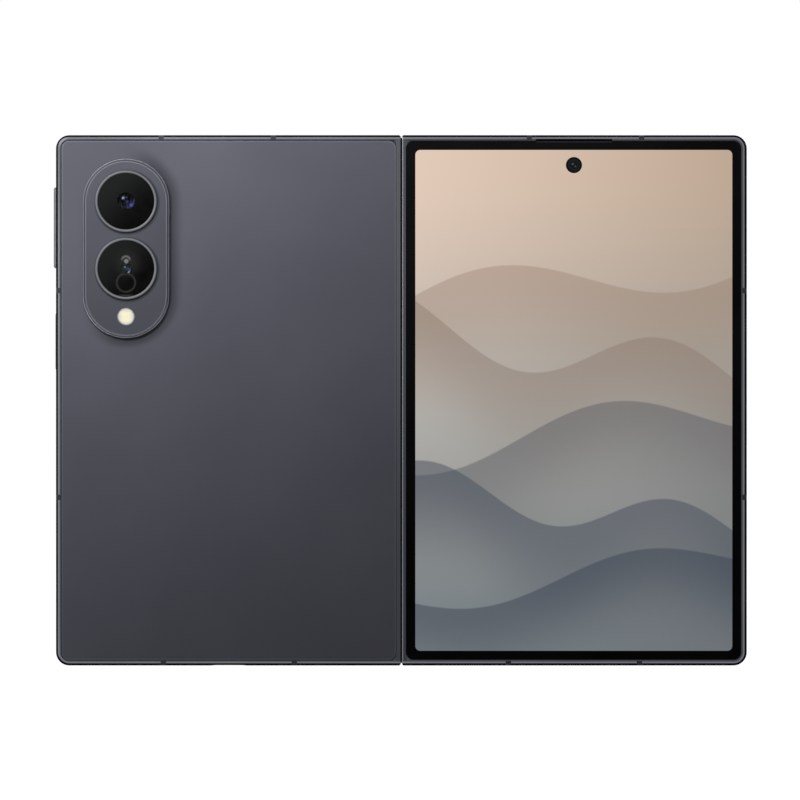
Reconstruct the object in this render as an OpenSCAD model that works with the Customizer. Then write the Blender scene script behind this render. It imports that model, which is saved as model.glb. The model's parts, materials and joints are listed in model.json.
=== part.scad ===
// Foldable smartphone that opens like a book, drawn open and upright.
// X runs along the width, Y from the outer face to the inner display, Z up.
// The origin is at the fold line, in the middle of the thickness, on the bottom edge.

/* [Body] */
// Width of each half, from the fold line to its outer edge
half_w = 80.7; // [79:0.1:90]
// Height of the phone
body_h = 123.9; // [122:0.1:140]
// Thickness of the open phone
half_t = 4.8; // [4.7:0.05:6]
// Radius of the outer corners
corner_r = 3.1; // [1.5:0.1:6]
// Radius of the corners beside the fold
fold_corner_r = 0.5; // [0.3:0.05:1]
// Rounding along the edges of the frame
edge_r = 0.5; // [0.2:0.05:0.8]
// Gap between the halves at the fold line
fold_gap = 0.28; // [0.1:0.02:0.5]
// Thickness of the frame's outer walls
wall_t = 2; // [1.6:0.1:3]
// Thickness of the plate behind the inner display
plate_t = 0.55; // [0.4:0.05:1]

/* [Glass] */
// Metal rim beside the back glass
rear_rim = 1.2; // [0.8:0.05:2]
// Metal rim beside the cover glass
cover_rim = 1.34; // [0.8:0.05:2]
// Metal strip between the fold line and the glass
fold_strip = 1.15; // [0.9:0.05:1.3]
// Thickness of both outer glasses
glass_t = 0.4; // [0.3:0.05:0.5]
// Radius of the glass corners at the outer edge
glass_r = 1.75; // [1:0.05:3]
// Radius of the glass corners at the fold
glass_fold_r = 1.45; // [0.8:0.05:2]
// Joint round each glass
glass_joint = 0.08; // [0.04:0.02:0.15]
// Depth of the glass below the rim
glass_sink = 0.05; // [0:0.01:0.1]

/* [Camera island] */
// Width of the island
island_w = 20.3; // [18:0.1:24]
// Height of the island
island_h = 42; // [38:0.1:46]
// How far the island stands out of the back
island_t = 1.35; // [0.8:0.05:1.5]
// Rounding round the island's outer edge
island_edge = 0.7; // [0.2:0.05:0.75]
// Distance of the island's middle from the outer edge
island_inset = 16.45; // [14:0.05:20]
// Distance of the island's middle below the top edge
island_drop = 26.5; // [25:0.1:30]
// Outer diameter of the lens rings
ring_d = 14.6; // [13:0.1:15]
// Diameter of the lens glasses
lens_d = 13.2; // [11.5:0.1:13.5]
// Distance between the two lenses
lens_pitch = 15.7; // [15.2:0.1:17]
// How far the lens rings stand out of the island
ring_t = 0.45; // [0.2:0.05:0.5]
// Diameter of the flash lens
flash_d = 4.1; // [3:0.1:5]
// Distance of the flash below the lower lens
flash_drop = 11.2; // [10.5:0.1:12]

/* [Cover display] */
// Diameter of the front camera's hole
front_camera_d = 3.7; // [3:0.1:4.5]
// Distance of the front camera and the earpiece from the fold line
front_camera_x = 40.3; // [36:0.1:44]
// Distance of the front camera below the top edge
front_camera_drop = 7; // [6.5:0.1:8]
// Length of the earpiece slot
ear_slot_l = 17.8; // [10:0.1:20]
// Height of the earpiece slot
ear_slot_h = 0.35; // [0.2:0.05:0.4]
// Thickness of the cover display panel
cover_panel_t = 0.25; // [0.2:0.05:0.28]

/* [Keys and ports] */
// Length of the volume key
volume_l = 18.9; // [16:0.1:22]
// Distance of the volume key's middle below the top edge
volume_drop = 21.6; // [18:0.1:23]
// How far the volume key stands out
volume_proud = 0.6; // [0.3:0.05:0.8]
// Length of the side key
side_key_l = 13.2; // [10:0.1:15]
// Distance of the side key's middle below the top edge
side_key_drop = 48.2; // [45:0.1:54]
// How far the side key stands out
side_key_proud = 0.2; // [0.15:0.05:0.4]
// Width of both keys across the thickness
key_w = 1.9; // [1.5:0.1:2.2]
// Width of the antenna breaks
break_w = 1.25; // [0.8:0.05:2]
// Distance of the top and bottom breaks from the fold line, the nearer ones
break_fold_xs = [29.9, 25]; // [20:0.1:34]
// Distance of the top and bottom breaks from the outer edge, the farther ones
break_edge_xs = [24.6, 25.1]; // [22:0.1:30]
// Height of the lower side break above the bottom edge
break_rise = 39.3; // [20:0.1:50]
// Distance of the upper side break below the top edge
break_drop = 36.3; // [34:0.1:40]
// Distance of the charging port from the fold line
port_x = 40.3; // [36:0.1:44]
// Width of the charging port's mouth
port_w = 9; // [8.8:0.1:9.4]
// Height of the charging port's mouth across the thickness
port_h = 3.2; // [3:0.05:3.3]
// Width of the bevel round the charging port
port_bevel = 0.8; // [0.4:0.05:0.9]
// Width of the SIM tray
tray_w = 10.6; // [9.6:0.1:12]
// Length of the SIM tray
tray_l = 15; // [13:0.1:17]
// Distance of the SIM tray's middle from the outer edge
tray_inset = 14.2; // [12:0.1:17]

/* [Hinge] */
// Depth of the fold axes below the outer face
axis_d = 3.5; // [3.4:0.05:3.6]
// Gap between the two inner faces of the folded phone
closed_gap = 0.2; // [0.1:0.05:0.4]
// Thickness of the lips that cover the spine, glass included
lip_t = 0.75; // [0.7:0.05:0.85]
// Gap between the spine and the halves
spine_gap = 0.1; // [0.08:0.02:0.2]
// Wall of the spine cover
spine_wall = 0.3; // [0.2:0.05:0.4]
// Distance of each hinge module's middle from the spine's ends
module_inset = 22; // [19:0.5:30]
// Distance between neighbouring gear shafts
gear_pitch = 1.4; // [1.3:0.02:1.44]
// Number of teeth on each gear
gear_teeth = 10; // [8:2:12]
// Diameter of the gear shafts
gear_pin_d = 0.6; // [0.4:0.05:0.64]
// Reach of the hinge arms beyond the fold axis
arm_reach = 6.6; // [6:0.1:6.8]
// Length of the support plates under the display's fold
wing_l = 6; // [5:0.1:6.2]

/* [Inner display] */
// Width of the soft rim round the inner display
bezel_w = 1.5; // [1.2:0.1:2.5]
// Distance of the soft rim's outer side from the frame's edge
bezel_inset = 1.6; // [1.2:0.1:2]
// Thickness of the inner display
panel_t = 0.5; // [0.4:0.05:0.55]
// Height of the soft rim above the inner display
bezel_t = 0.15; // [0.1:0.05:0.25]
// Diameter of the inner camera's hole
inner_camera_d = 3.6; // [3:0.1:4.5]

/* [Hidden] */
$fn = 64;
// a small overshoot for cuts
e = 0.02;
// clearance round parts that are fixed in a pocket
fixed_gap = 0.05;
// clearance round parts that slide
slide_gap = 0.1;

// depths below the outer face
glass_pocket = glass_sink + glass_t;
panel_front = half_t - bezel_t;
panel_back = panel_front - panel_t;
plate_front = panel_back - fixed_gap;
plate_back = plate_front - plate_t;
cover_panel_pocket = glass_pocket + cover_panel_t + fixed_gap;
board_t = 0.6;
screw_hole_d = 1.2;
sound_hole_d = 0.7;
tray_t = 0.9;
port_depth = wall_t + 5.6;
board_d = plate_back - fixed_gap - board_t;
part_top = plate_back - fixed_gap;
shield_t = 0.3;
coil_d = 42;
coil_band = 11;
port_bevel_depth = 0.5;
mid_d = half_t / 2;

// hinge geometry, across the fold
axis_x = closed_gap / 2 + half_t - axis_d;
recess_r = axis_d - lip_t;
spine_r = recess_r - spine_gap;
spine_in_r = spine_r - spine_wall;
spine_z0 = 0.6;
spine_z1 = body_h - spine_z0;
cap_l = 1.3;
panel_inset = 2;
cover_edge_d = axis_d - spine_r / 2;
base_top = panel_back - 0.65;
ridge_top = panel_back - 0.5;
center_w = 1.5;
module_len = 28;
module_zs = [spine_z0 + module_inset, spine_z1 - module_inset];
spine_screw_zs = [4, 10];
spine_screw_head_d = 1.6;
gear_d = axis_d - 0.75;
gear_r = gear_pitch / 2;
tooth_out = gear_r + 0.13;
tooth_in = gear_r - 0.16;
rail_in = spine_in_r - 0.5;
rail_out = spine_in_r - slide_gap;
wing_pivot_x = axis_x + 7;
wing_t = 0.3;
wing_pivot_d = panel_back - 0.4;
wing_tilt = 16;
barrel_r = 0.3;
bracket_x1 = wing_pivot_x + 3.9;
bracket_d0 = glass_pocket + 0.85;
cavity_x0 = bracket_x1 + 0.7;
screw_zs = [-11, 0, 11];
bracket_screw_x = wing_pivot_x + 2.5;

// places of parts in the halves
module_pocket_x = bracket_x1 + fixed_gap;
island_x = half_w - island_inset;
island_z = body_h - island_drop;
volume_z = body_h - volume_drop;
side_key_z = body_h - side_key_drop;
volume_switch_zs = [volume_z - 6, volume_z + 6];
tray_x = half_w - tray_inset;
lens_zs = [island_z - lens_pitch / 2 + 3.15, island_z + lens_pitch / 2 + 3.15];
flash_z = lens_zs[0] - flash_drop;
front_camera_z = body_h - front_camera_drop;
break_zs = [break_rise, body_h - break_drop];
break_xs = [break_fold_xs[0], half_w - break_edge_xs[0]];
break_low_xs = [break_fold_xs[1], half_w - break_edge_xs[1]];
board_gap = 0.5;
main_board_l = 47.9;
port_board_reach = 13.2;
reader_room = 4.2;
camera_w = 13;
board_x0 = cavity_x0 + board_gap;
battery_x1 = half_w - wall_t - 4;
main_board_x1 = island_x - camera_w / 2 - 1;
main_board_z0 = body_h - main_board_l;
port_board_x1 = port_x + port_board_reach;
port_board_z1 = 22;
cover_board_x1 = tray_x - tray_w / 2 - reader_room;
low_board_z1 = 28;
high_board_z0 = body_h - 22.5;

// spots of the screws that hold the boards, near the boards' corners
screw_x = board_x0 + 3.5;
camera_side_x = (front_camera_x + 3 + main_board_x1) / 2;
frame_screws = [
    [screw_x, main_board_z0 + 1.4], [main_board_x1 - 6.75, main_board_z0 + 1.4],
    [screw_x, body_h - 4.9], [camera_side_x, body_h - 4.9],
    [screw_x, port_board_z1 - 2.5], [port_board_x1 - 3.5, port_board_z1 - 2.5],
];
frame_screws_cover = [
    [screw_x, wall_t + 3], [half_w - wall_t - 3.7, wall_t + 3],
    [half_w - wall_t - 3.7, low_board_z1 - 2],
    [screw_x, high_board_z0 + 2.6], [cover_board_x1 - 1.5, high_board_z0 + 2.6],
];

// drawing aids

// plan shapes are drawn as (x, height) with the depth below the outer face upwards
module upright() {
    translate([0, -half_t / 2, 0]) mirror([0, 1, -1]) children();
}

// shapes across the fold are drawn as (x, depth) and run along the fold
module along_fold(z0, len) {
    translate([0, -half_t / 2, z0]) linear_extrude(height = len) children();
}

module slab(d0, d1) {
    upright() translate([0, 0, d0]) linear_extrude(height = d1 - d0) children();
}

module rear_side() {
    mirror([1, 0, 0]) children();
}

module block(x, z, d) {
    upright() translate([x[0], z[0], d[0]]) cube([x[1] - x[0], z[1] - z[0], d[1] - d[0]]);
}

// rounded rectangle with its own corner radius at each side
module plan(x0, x1, z0, z1, ra, rb) {
    translate([x0 + ra, z0]) square([x1 - x0 - ra - rb, z1 - z0]);
    translate([x0, z0 + ra]) square([ra, z1 - z0 - 2 * ra]);
    translate([x1 - rb, z0 + rb]) square([rb, z1 - z0 - 2 * rb]);
    for (z = [z0 + ra, z1 - ra]) translate([x0 + ra, z]) circle(ra);
    for (z = [z0 + rb, z1 - rb]) translate([x1 - rb, z]) circle(rb);
}

module even_plan(x0, x1, z0, z1, r) {
    plan(x0, x1, z0, z1, r, r);
}

module stadium(w, h) {
    r = min(w, h) / 2;
    square([w > h ? w - 2 * r : w, w > h ? h : h - 2 * r], center = true);
    for (s = [-1, 1]) translate([w > h ? s * (w / 2 - r) : 0, w > h ? 0 : s * (h / 2 - r)]) circle(r);
}

module at(x, z, d) {
    upright() translate([x, z, d]) children();
}

// a quarter-rounded disc, one corner of the frame
module frame_corner(r, edge) {
    steps = 5;
    low = [for (i = [0:steps]) [r - edge + edge * sin(90 * i / steps), edge - edge * cos(90 * i / steps)]];
    high = [for (p = low) [p[0], half_t - p[1]]];
    outline = concat([[0, 0]], low, [for (i = [steps:-1:0]) high[i]], [[0, half_t]]);
    rotate_extrude($fn = 32) polygon(outline);
}

module frame_body() {
    fold_edge = min(edge_r, fold_corner_r) / 2;
    x0 = fold_gap / 2 + fold_corner_r;
    x1 = half_w - corner_r;
    upright() hull() {
        for (z = [fold_corner_r, body_h - fold_corner_r]) {
            translate([x0, z, 0]) frame_corner(fold_corner_r, fold_edge);
        }
        for (z = [corner_r, body_h - corner_r]) translate([x1, z, 0]) frame_corner(corner_r, edge_r);
    }
}

module break_cuts() {
    for (z = break_zs) block([half_w - 1.1, half_w + 1], [z - break_w / 2, z + break_w / 2], [-1, half_t + 1]);
    for (x = break_xs) block([x - break_w / 2, x + break_w / 2], [body_h - 1.1, body_h + 1], [-1, half_t + 1]);
    for (x = break_low_xs) block([x - break_w / 2, x + break_w / 2], [-1, 1.1], [-1, half_t + 1]);
}

module glass_recess(rim) {
    slab(-e, glass_pocket) glass_plan(rim, 0);
}

module glass_plan(rim, gap) {
    plan(fold_strip + gap, half_w - rim - gap, rim + gap, body_h - rim - gap, glass_fold_r, glass_r);
}

module display_pocket() {
    slab(panel_back - fixed_gap, half_t + e)
        plan(-5, half_w - bezel_inset, bezel_inset, body_h - bezel_inset, 1, corner_r - 1);
}

module cavity(d0) {
    slab(d0, plate_back) even_plan(cavity_x0, half_w - wall_t, wall_t, body_h - wall_t, 1.2);
}

// room for the spine, the support plate and the hinge brackets
module fold_recess() {
    along_fold(-1, body_h + 2) {
        translate([axis_x, axis_d]) circle(recess_r);
        translate([-1, lip_t]) square([axis_x + 1, half_t]);
        polygon([[axis_x, wing_pivot_d - (wing_pivot_x - axis_x) * tan(wing_tilt) - 0.3],
            [wing_pivot_x, wing_pivot_d - 0.4], [wing_pivot_x, half_t + 1], [axis_x, half_t + 1]]);
        translate([wing_pivot_x, wing_pivot_d]) circle(barrel_r + fixed_gap);
        translate([wing_pivot_x, wing_pivot_d]) square([barrel_r + fixed_gap, half_t]);
    }
    for (z = module_zs) {
        block([axis_x + 2, module_pocket_x],
            [z - module_len / 2 - fixed_gap, z + module_len / 2 + fixed_gap],
            [bracket_d0 - fixed_gap, half_t]);
        for (s = screw_zs) at(bracket_screw_x, z + s, bracket_d0 - 0.35) cylinder(r = 0.5, h = 1);
    }
}

module half_frame(rim) {
    difference() {
        frame_body();
        break_cuts();
        glass_recess(rim);
        display_pocket();
        fold_recess();
    }
}

module half_breaks(rim) {
    difference() {
        intersection() {
            frame_body();
            break_cuts();
        }
        glass_recess(rim);
    }
}

// spine

// outline of the spine at a given radius about both fold axes
module spine_outline(r) {
    for (s = [-1, 1]) translate([s * axis_x, axis_d]) circle(r);
    translate([-axis_x, axis_d - r]) square([2 * axis_x, 2 * r]);
}

module below(d) {
    translate([-10, -10]) square([20, 10 + d]);
}

module spine_cover() {
    color("#4b4a52") {
        along_fold(spine_z0, spine_z1 - spine_z0) difference() {
            intersection() {
                spine_outline(spine_r);
                below(cover_edge_d);
            }
            spine_outline(spine_in_r);
        }
        for (z = [spine_z0, spine_z1 - 0.4]) along_fold(z, 0.4) intersection() {
            spine_outline(spine_in_r + e);
            below(cover_edge_d);
        }
    }
}

module base_outline() {
    intersection() {
        spine_outline(spine_in_r - fixed_gap);
        union() {
            below(base_top);
            translate([-center_w, 0]) square([2 * center_w, ridge_top]);
        }
    }
}

rail_z = [[-13, -9.5], [-8.9, -5.4]];
gear_z = [-2.8, 0.8];
gear_w = 2.6;
arm_w = 2;
spring_z = [2.6, 12];
shaft_z = [-4.6, 12.8];
spring_r = 0.75;

function outer_gear_x() = 1.5 * gear_pitch;
function inner_gear_x() = 0.5 * gear_pitch;

// i is 0 for the lower module and 1 for the upper one, its mirror image
module hinge_module(i) {
    translate([0, 0, module_zs[i]]) mirror([0, 0, i]) children();
}

module rail_cut(s, z) {
    along_fold(z[0] - slide_gap, z[1] - z[0] + 2 * slide_gap) difference() {
        translate([s * axis_x, axis_d]) circle(spine_r);
        translate([s * axis_x, axis_d]) circle(rail_in - slide_gap);
    }
}

module hinge_base() {
    difference() {
        along_fold(-module_len / 2, module_len) base_outline();
        rail_cut(-1, rail_z[0]);
        rail_cut(1, rail_z[1]);
        along_fold(gear_z[0], gear_z[1] - gear_z[0]) translate([-5, gear_d - tooth_out - 0.12]) square([10, 5]);
        for (x = [-inner_gear_x(), inner_gear_x()]) {
            along_fold(shaft_z[0], 7) translate([x, gear_d]) circle(d = gear_pin_d + 0.04);
        }
        for (x = [-outer_gear_x(), outer_gear_x()]) {
            along_fold(shaft_z[0], shaft_z[1] - shaft_z[0]) translate([x, gear_d])
                circle(d = gear_pin_d + 0.04);
            along_fold(spring_z[0], spring_z[1] - spring_z[0]) translate([x, gear_d])
                circle(spring_r + slide_gap);
        }
        for (z = spine_screw_zs) {
            at(0, z, axis_d - spine_in_r - e) cylinder(d = 0.84, h = 5);
            at(0, z, base_top - 0.4) cylinder(d = spine_screw_head_d + 0.1, h = 5);
        }
    }
}

module hinge_base_lower() {
    color("#8d8f94") hinge_module(0) hinge_base();
}

module hinge_base_upper() {
    color("#8d8f94") hinge_module(1) hinge_base();
}

module spine_end_caps() {
    color("#26262a") for (z = [spine_z0 + 0.4, spine_z1 - 0.4 - cap_l + 0.4]) {
        along_fold(z, cap_l - 0.4) {
            intersection() {
                spine_outline(spine_in_r - fixed_gap);
                below(base_top);
            }
            translate([-1.2, base_top - 1]) square([2.4, panel_front - base_top + 1]);
        }
    }
}

module center_plate() {
    z0 = spine_z0 + cap_l + 0.05;
    color("#a5a7ab") difference() {
        along_fold(z0, body_h - 2 * z0) translate([-center_w, ridge_top])
            square([2 * center_w, panel_back - fixed_gap - ridge_top]);
        for (i = [0, 1]) hinge_module(i) for (z = spine_screw_zs) {
            at(0, z, base_top) cylinder(d = spine_screw_head_d + 0.1, h = 0.4);
        }
    }
}

module gear_shafts() {
    color("#c9cbd0") for (i = [0, 1]) hinge_module(i) {
        for (x = [-inner_gear_x(), inner_gear_x()]) {
            along_fold(shaft_z[0] + 0.1, 6.6) translate([x, gear_d]) circle(d = gear_pin_d);
        }
        for (x = [-outer_gear_x(), outer_gear_x()]) {
            along_fold(shaft_z[0] + 0.1, shaft_z[1] - shaft_z[0] - 0.2) translate([x, gear_d])
                circle(d = gear_pin_d);
        }
    }
}

// a stack of coned spring washers, drawn as one corrugated sleeve
module detent_spring() {
    washers = 10;
    pitch = (spring_z[1] - spring_z[0] - 0.2) / washers;
    outer = [for (i = [0:washers - 1]) each [[spring_r - 0.15, i * pitch], [spring_r, (i + 0.5) * pitch]]];
    rotate_extrude() polygon(concat([[gear_pin_d / 2 + 0.04, 0]], outer,
        [[spring_r - 0.15, washers * pitch], [gear_pin_d / 2 + 0.04, washers * pitch]]));
}

module detent_springs() {
    color("#9aa0a8") for (i = [0, 1]) hinge_module(i) for (x = [-outer_gear_x(), outer_gear_x()]) {
        translate([x, gear_d - half_t / 2, spring_z[0] + 0.1]) detent_spring();
    }
}

module spine_screws() {
    color("#d0d2d6") for (i = [0, 1]) hinge_module(i) for (z = spine_screw_zs) {
        at(0, z, axis_d - spine_in_r) cylinder(d = 0.8, h = base_top - 0.4 - axis_d + spine_in_r);
        at(0, z, base_top - 0.4) cylinder(d = spine_screw_head_d, h = 0.5);
    }
}

// gears and arms

module gear_outline(phase) {
    n = gear_teeth;
    step = 360 / n;
    half_root = step * 0.27;
    half_pitch = step * 0.215;
    half_tip = step * 0.12;
    rotate(phase) polygon([for (i = [0:n - 1]) each [
        for (p = [[tooth_in, -half_root], [gear_r, -half_pitch], [tooth_out, -half_tip],
                [tooth_out, half_tip], [gear_r, half_pitch], [tooth_in, half_root]])
            [p[0] * cos(i * step + p[1]), p[0] * sin(i * step + p[1])]
    ]]);
}

// x is the shaft's place, and phase turns the gear until its teeth meet its neighbour's gaps
module gear(x, phase) {
    z0 = (gear_z[0] + gear_z[1] - gear_w) / 2;
    along_fold(z0, gear_w) translate([x, gear_d]) difference() {
        gear_outline(phase);
        circle(d = gear_pin_d + 0.08);
    }
}

half_step = 180 / gear_teeth;

// s is the side, -1 for the rear half and 1 for the cover half
module hinge_arm(s) {
    arm_low = cover_edge_d + 0.12;
    arm_high = arm_low + 0.4;
    gear(s * outer_gear_x(), s > 0 ? half_step : 0);
    z0 = (gear_z[0] + gear_z[1] - arm_w) / 2;
    x0 = outer_gear_x() + gear_r - 0.2;
    along_fold(z0, arm_w) mirror([s > 0 ? 0 : 1, 0]) {
        translate([x0, arm_low]) square([axis_x + arm_reach - x0, arm_high - arm_low]);
        translate([axis_x + arm_reach - 0.35, (arm_low + arm_high) / 2]) circle(0.35);
    }
}

module hinge_arm_rear_lower() {
    color("#b4b7bd") hinge_module(0) hinge_arm(-1);
}

module hinge_arm_rear_upper() {
    color("#b4b7bd") hinge_module(1) hinge_arm(-1);
}

module hinge_arm_cover_lower() {
    color("#b4b7bd") hinge_module(0) hinge_arm(1);
}

module hinge_arm_cover_upper() {
    color("#b4b7bd") hinge_module(1) hinge_arm(1);
}

module idler_gears_rear() {
    color("#caa96a") for (i = [0, 1]) hinge_module(i) gear(-inner_gear_x(), half_step);
}

module idler_gears_cover() {
    color("#caa96a") for (i = [0, 1]) hinge_module(i) gear(inner_gear_x(), 0);
}

// plate under the display's fold, which tilts away as the phone closes
module support_plate() {
    x0 = wing_pivot_x - wing_l;
    bridge = 1;
    top = wing_pivot_d + barrel_r - fixed_gap;
    z0 = spine_z0 + cap_l + 0.4;
    half_notch = module_len / 2 + 0.3;
    lower_notch = [module_zs[0] - half_notch, module_zs[0] + half_notch];
    // the flex cable swings through the middle notch
    cable_notch = [cable_z[0] - 0.6, cable_z[1] + 0.6];
    upper_notch = [module_zs[1] - half_notch, module_zs[1] + half_notch];
    edges = concat([z0], lower_notch, cable_notch, upper_notch, [body_h - z0]);
    along_fold(z0, body_h - 2 * z0) {
        translate([wing_pivot_x, wing_pivot_d]) circle(barrel_r);
        translate([wing_pivot_x - bridge, top - wing_t]) square([bridge, wing_t]);
    }
    for (i = [0:2:len(edges) - 1]) along_fold(edges[i], edges[i + 1] - edges[i]) {
        translate([x0, top - wing_t]) square([wing_l - bridge + e, wing_t]);
    }
}

module support_plate_rear() {
    color("#9b9da1") rear_side() support_plate();
}

module support_plate_cover() {
    color("#9b9da1") support_plate();
}

// bracket with the arc rail that runs in the hinge base
module hinge_bracket(rail) {
    rail_top = -30;
    rail_end = -135;
    for (i = [0, 1]) hinge_module(i) {
        difference() {
            along_fold(-module_len / 2, module_len) translate([wing_pivot_x, bracket_d0])
                square([bracket_x1 - wing_pivot_x, plate_front - bracket_d0]);
            along_fold(-20, 40) {
                translate([wing_pivot_x, wing_pivot_d]) circle(barrel_r + fixed_gap);
                translate([wing_pivot_x - 1, wing_pivot_d]) square([1 + barrel_r + fixed_gap, 5]);
            }
            for (z = screw_zs) {
                at(bracket_screw_x, z, 0) cylinder(d = 1.04, h = 5);
                at(bracket_screw_x, z, plate_front - 0.5) cylinder(d = 2.04, h = 5);
            }
        }
        along_fold(rail[0], rail[1] - rail[0]) {
            difference() {
                translate([axis_x, axis_d]) circle(rail_out);
                translate([axis_x, axis_d]) circle(rail_in);
                // keeps the sector between rail_end and rail_top
                translate([axis_x, axis_d]) polygon([[0, 0], [8 * cos(rail_top), 8 * sin(rail_top)],
                    [8, 8], [-8, 8], [-8, 8 * sin(rail_end)], [8 * cos(rail_end), 8 * sin(rail_end)]]);
            }
            neck(rail_top);
        }
    }
}

module neck(rail_top) {
    tip_in = [axis_x + rail_in * cos(rail_top), axis_d + rail_in * sin(rail_top)];
    tip_out = [axis_x + rail_out * cos(rail_top), axis_d + rail_out * sin(rail_top)];
    neck_low = cover_edge_d + 0.12;
    polygon([tip_in, [tip_out[0] - 0.02, tip_out[1] - 0.06], [tip_out[0] + 0.15, neck_low],
        [axis_x + recess_r + 0.2, neck_low], [axis_x + recess_r + 0.2, bracket_d0],
        [wing_pivot_x + e, bracket_d0], [wing_pivot_x + e, neck_low + 0.8],
        [axis_x + recess_r, neck_low + 0.8], [tip_in[0] + 0.35, tip_in[1] + 0.16]]);
}

module hinge_bracket_rear() {
    color("#7f8187") rear_side() hinge_bracket(rail_z[0]);
}

module hinge_bracket_cover() {
    color("#7f8187") hinge_bracket(rail_z[1]);
}

// inner display, rims and flex cable

module inner_panel() {
    slab(panel_back, panel_front)
        plan(wing_pivot_x, half_w - bezel_inset - 0.3, panel_inset, body_h - panel_inset, 0.01, corner_r - 1.3);
}

module inner_display_fold() {
    x1 = wing_pivot_x - fixed_gap;
    color("#101114") slab(panel_back, panel_front) translate([-x1, panel_inset])
        square([2 * x1, body_h - 2 * panel_inset]);
}

module inner_display_rear() {
    color("#101114") rear_side() difference() {
        inner_panel();
        at(front_camera_x, front_camera_z, 0) cylinder(d = inner_camera_d, h = 10);
    }
}

module inner_display_cover() {
    color("#101114") inner_panel();
}

module bezel() {
    x0 = axis_x + 1.4;
    o = bezel_inset + fixed_gap;
    i = bezel_inset + bezel_w;
    slab(panel_front, half_t) difference() {
        plan(x0, half_w - o, o, body_h - o, 0.3, corner_r - 1.1);
        plan(-1, half_w - i, i, body_h - i, 0.3, 1);
    }
}

module rear_bezel() {
    color("#1b1b1e") rear_side() bezel();
}

module cover_bezel() {
    color("#1b1b1e") bezel();
}

cable_w = 22;
cable_z = [(body_h - cable_w) / 2, (body_h + cable_w) / 2];
cable_d = base_top - 0.35;
cable_t = 0.15;

module fold_flex_cable() {
    color("#b4742a") slab(cable_d, cable_d + cable_t) translate([-wing_pivot_x - 3, cable_z[0]])
        square([2 * wing_pivot_x + 6, cable_z[1] - cable_z[0]]);
}

module cable_way() {
    block([0, cavity_x0 + 1], [cable_z[0] - 0.5, cable_z[1] + 0.5], [cable_d - 0.25, plate_back]);
}

// rear half

module key_hole(z, l) {
    // mouth of the key, then room for its flange behind the wall
    mouth = key_w + 2 * slide_gap;
    translate([half_w - wall_t - 1, mid_d - half_t / 2, z]) rotate([0, 90, 0])
        linear_extrude(height = wall_t + 3) stadium(l + 2 * slide_gap, mouth);
    block([half_w - wall_t - 0.5, half_w - 0.9], [z - l / 2 - 0.8, z + l / 2 + 0.8],
        [mid_d - mouth / 2 - 0.25, mid_d + mouth / 2 + 0.25]);
}

module port_outline(gap) {
    stadium(port_w + 2 * gap, port_h + 2 * gap);
}

module port_hole(gap, z0, z1) {
    translate([port_x, mid_d - half_t / 2, z0]) linear_extrude(height = z1 - z0) port_outline(gap);
}

// bevel round the port's mouth
module port_mouth() {
    translate([port_x, mid_d - half_t / 2, -e]) hull() {
        linear_extrude(height = e) port_outline(fixed_gap + port_bevel);
        linear_extrude(height = port_bevel_depth) port_outline(fixed_gap);
    }
}

module frame_screw_holes(spots) {
    for (p = spots) at(p[0], p[1], plate_back - e) cylinder(d = 1, h = plate_t - 0.05);
}

// slots of the loudspeaker in the bottom edge, counted from the fold's side
speaker_slots = 5;
speaker_pitch = 2.6;
speaker_x0 = half_w - 19.7;

// small round hole through the outer wall, at the bottom edge if z is 0
module sound_hole(x, z) {
    translate([x, mid_d - half_t / 2, z - 1]) cylinder(d = sound_hole_d, h = wall_t + 2);
}

module rear_frame() {
    color("#5b5a61") rear_side() difference() {
        half_frame(rear_rim);
        cavity(glass_pocket - e);
        cable_way();
        key_hole(volume_z, volume_l);
        key_hole(side_key_z, side_key_l);
        port_hole(fixed_gap, -1, port_depth);
        block([port_x - port_w / 2 + 0.5, port_x + port_w / 2 - 0.5], [wall_t, port_depth], [mid_d, half_t]);
        port_mouth();
        for (i = [0:speaker_slots - 1]) translate([speaker_x0 + i * speaker_pitch, mid_d - half_t / 2, -1])
            linear_extrude(height = wall_t + 2) stadium(1.7, 0.9);
        for (x = [port_x - 7.3, port_x + 9.2]) sound_hole(x, 0);
        sound_hole(island_x + 4.75, body_h - wall_t);
        at(front_camera_x, front_camera_z, plate_back - 1) cylinder(d = inner_camera_d + 0.6, h = 3);
        frame_screw_holes(frame_screws);
    }
}

module rear_antenna_breaks() {
    color("#3d3d43") rear_side() half_breaks(rear_rim);
}

// hole in the back glass, under the island
module island_hole(inset, d0, d1) {
    at(island_x, island_z, d0) linear_extrude(height = d1 - d0)
        stadium(island_w - 2 * inset, island_h - 2 * inset);
}

module rear_glass() {
    color("#56565f") rear_side() difference() {
        slab(glass_sink, glass_pocket) glass_plan(rear_rim, glass_joint);
        island_hole(1.2, -1, 2);
    }
}

// half the island's section, from its middle line to its rounded edge
module island_profile() {
    r = island_w / 2;
    square([r, island_t - island_edge]);
    square([r - island_edge, island_t]);
    translate([r - island_edge, island_t - island_edge]) circle(island_edge);
}

module island_section() {
    intersection() {
        island_profile();
        square([island_w, island_t]);
    }
}

module island_shell() {
    straight = island_h - island_w;
    at(island_x, island_z, glass_sink) mirror([0, 0, 1]) {
        for (s = [0, 1]) mirror([0, s, 0]) translate([0, straight / 2, 0])
            rotate_extrude(angle = 180) island_section();
        translate([0, straight / 2, 0]) rotate([90, 0, 0]) linear_extrude(height = straight) {
            island_section();
            mirror([1, 0]) island_section();
        }
    }
}

// depth of the lens rings' outer faces
ring_face_d = glass_sink - island_t - ring_t;
ring_seat_t = 0.3;

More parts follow.
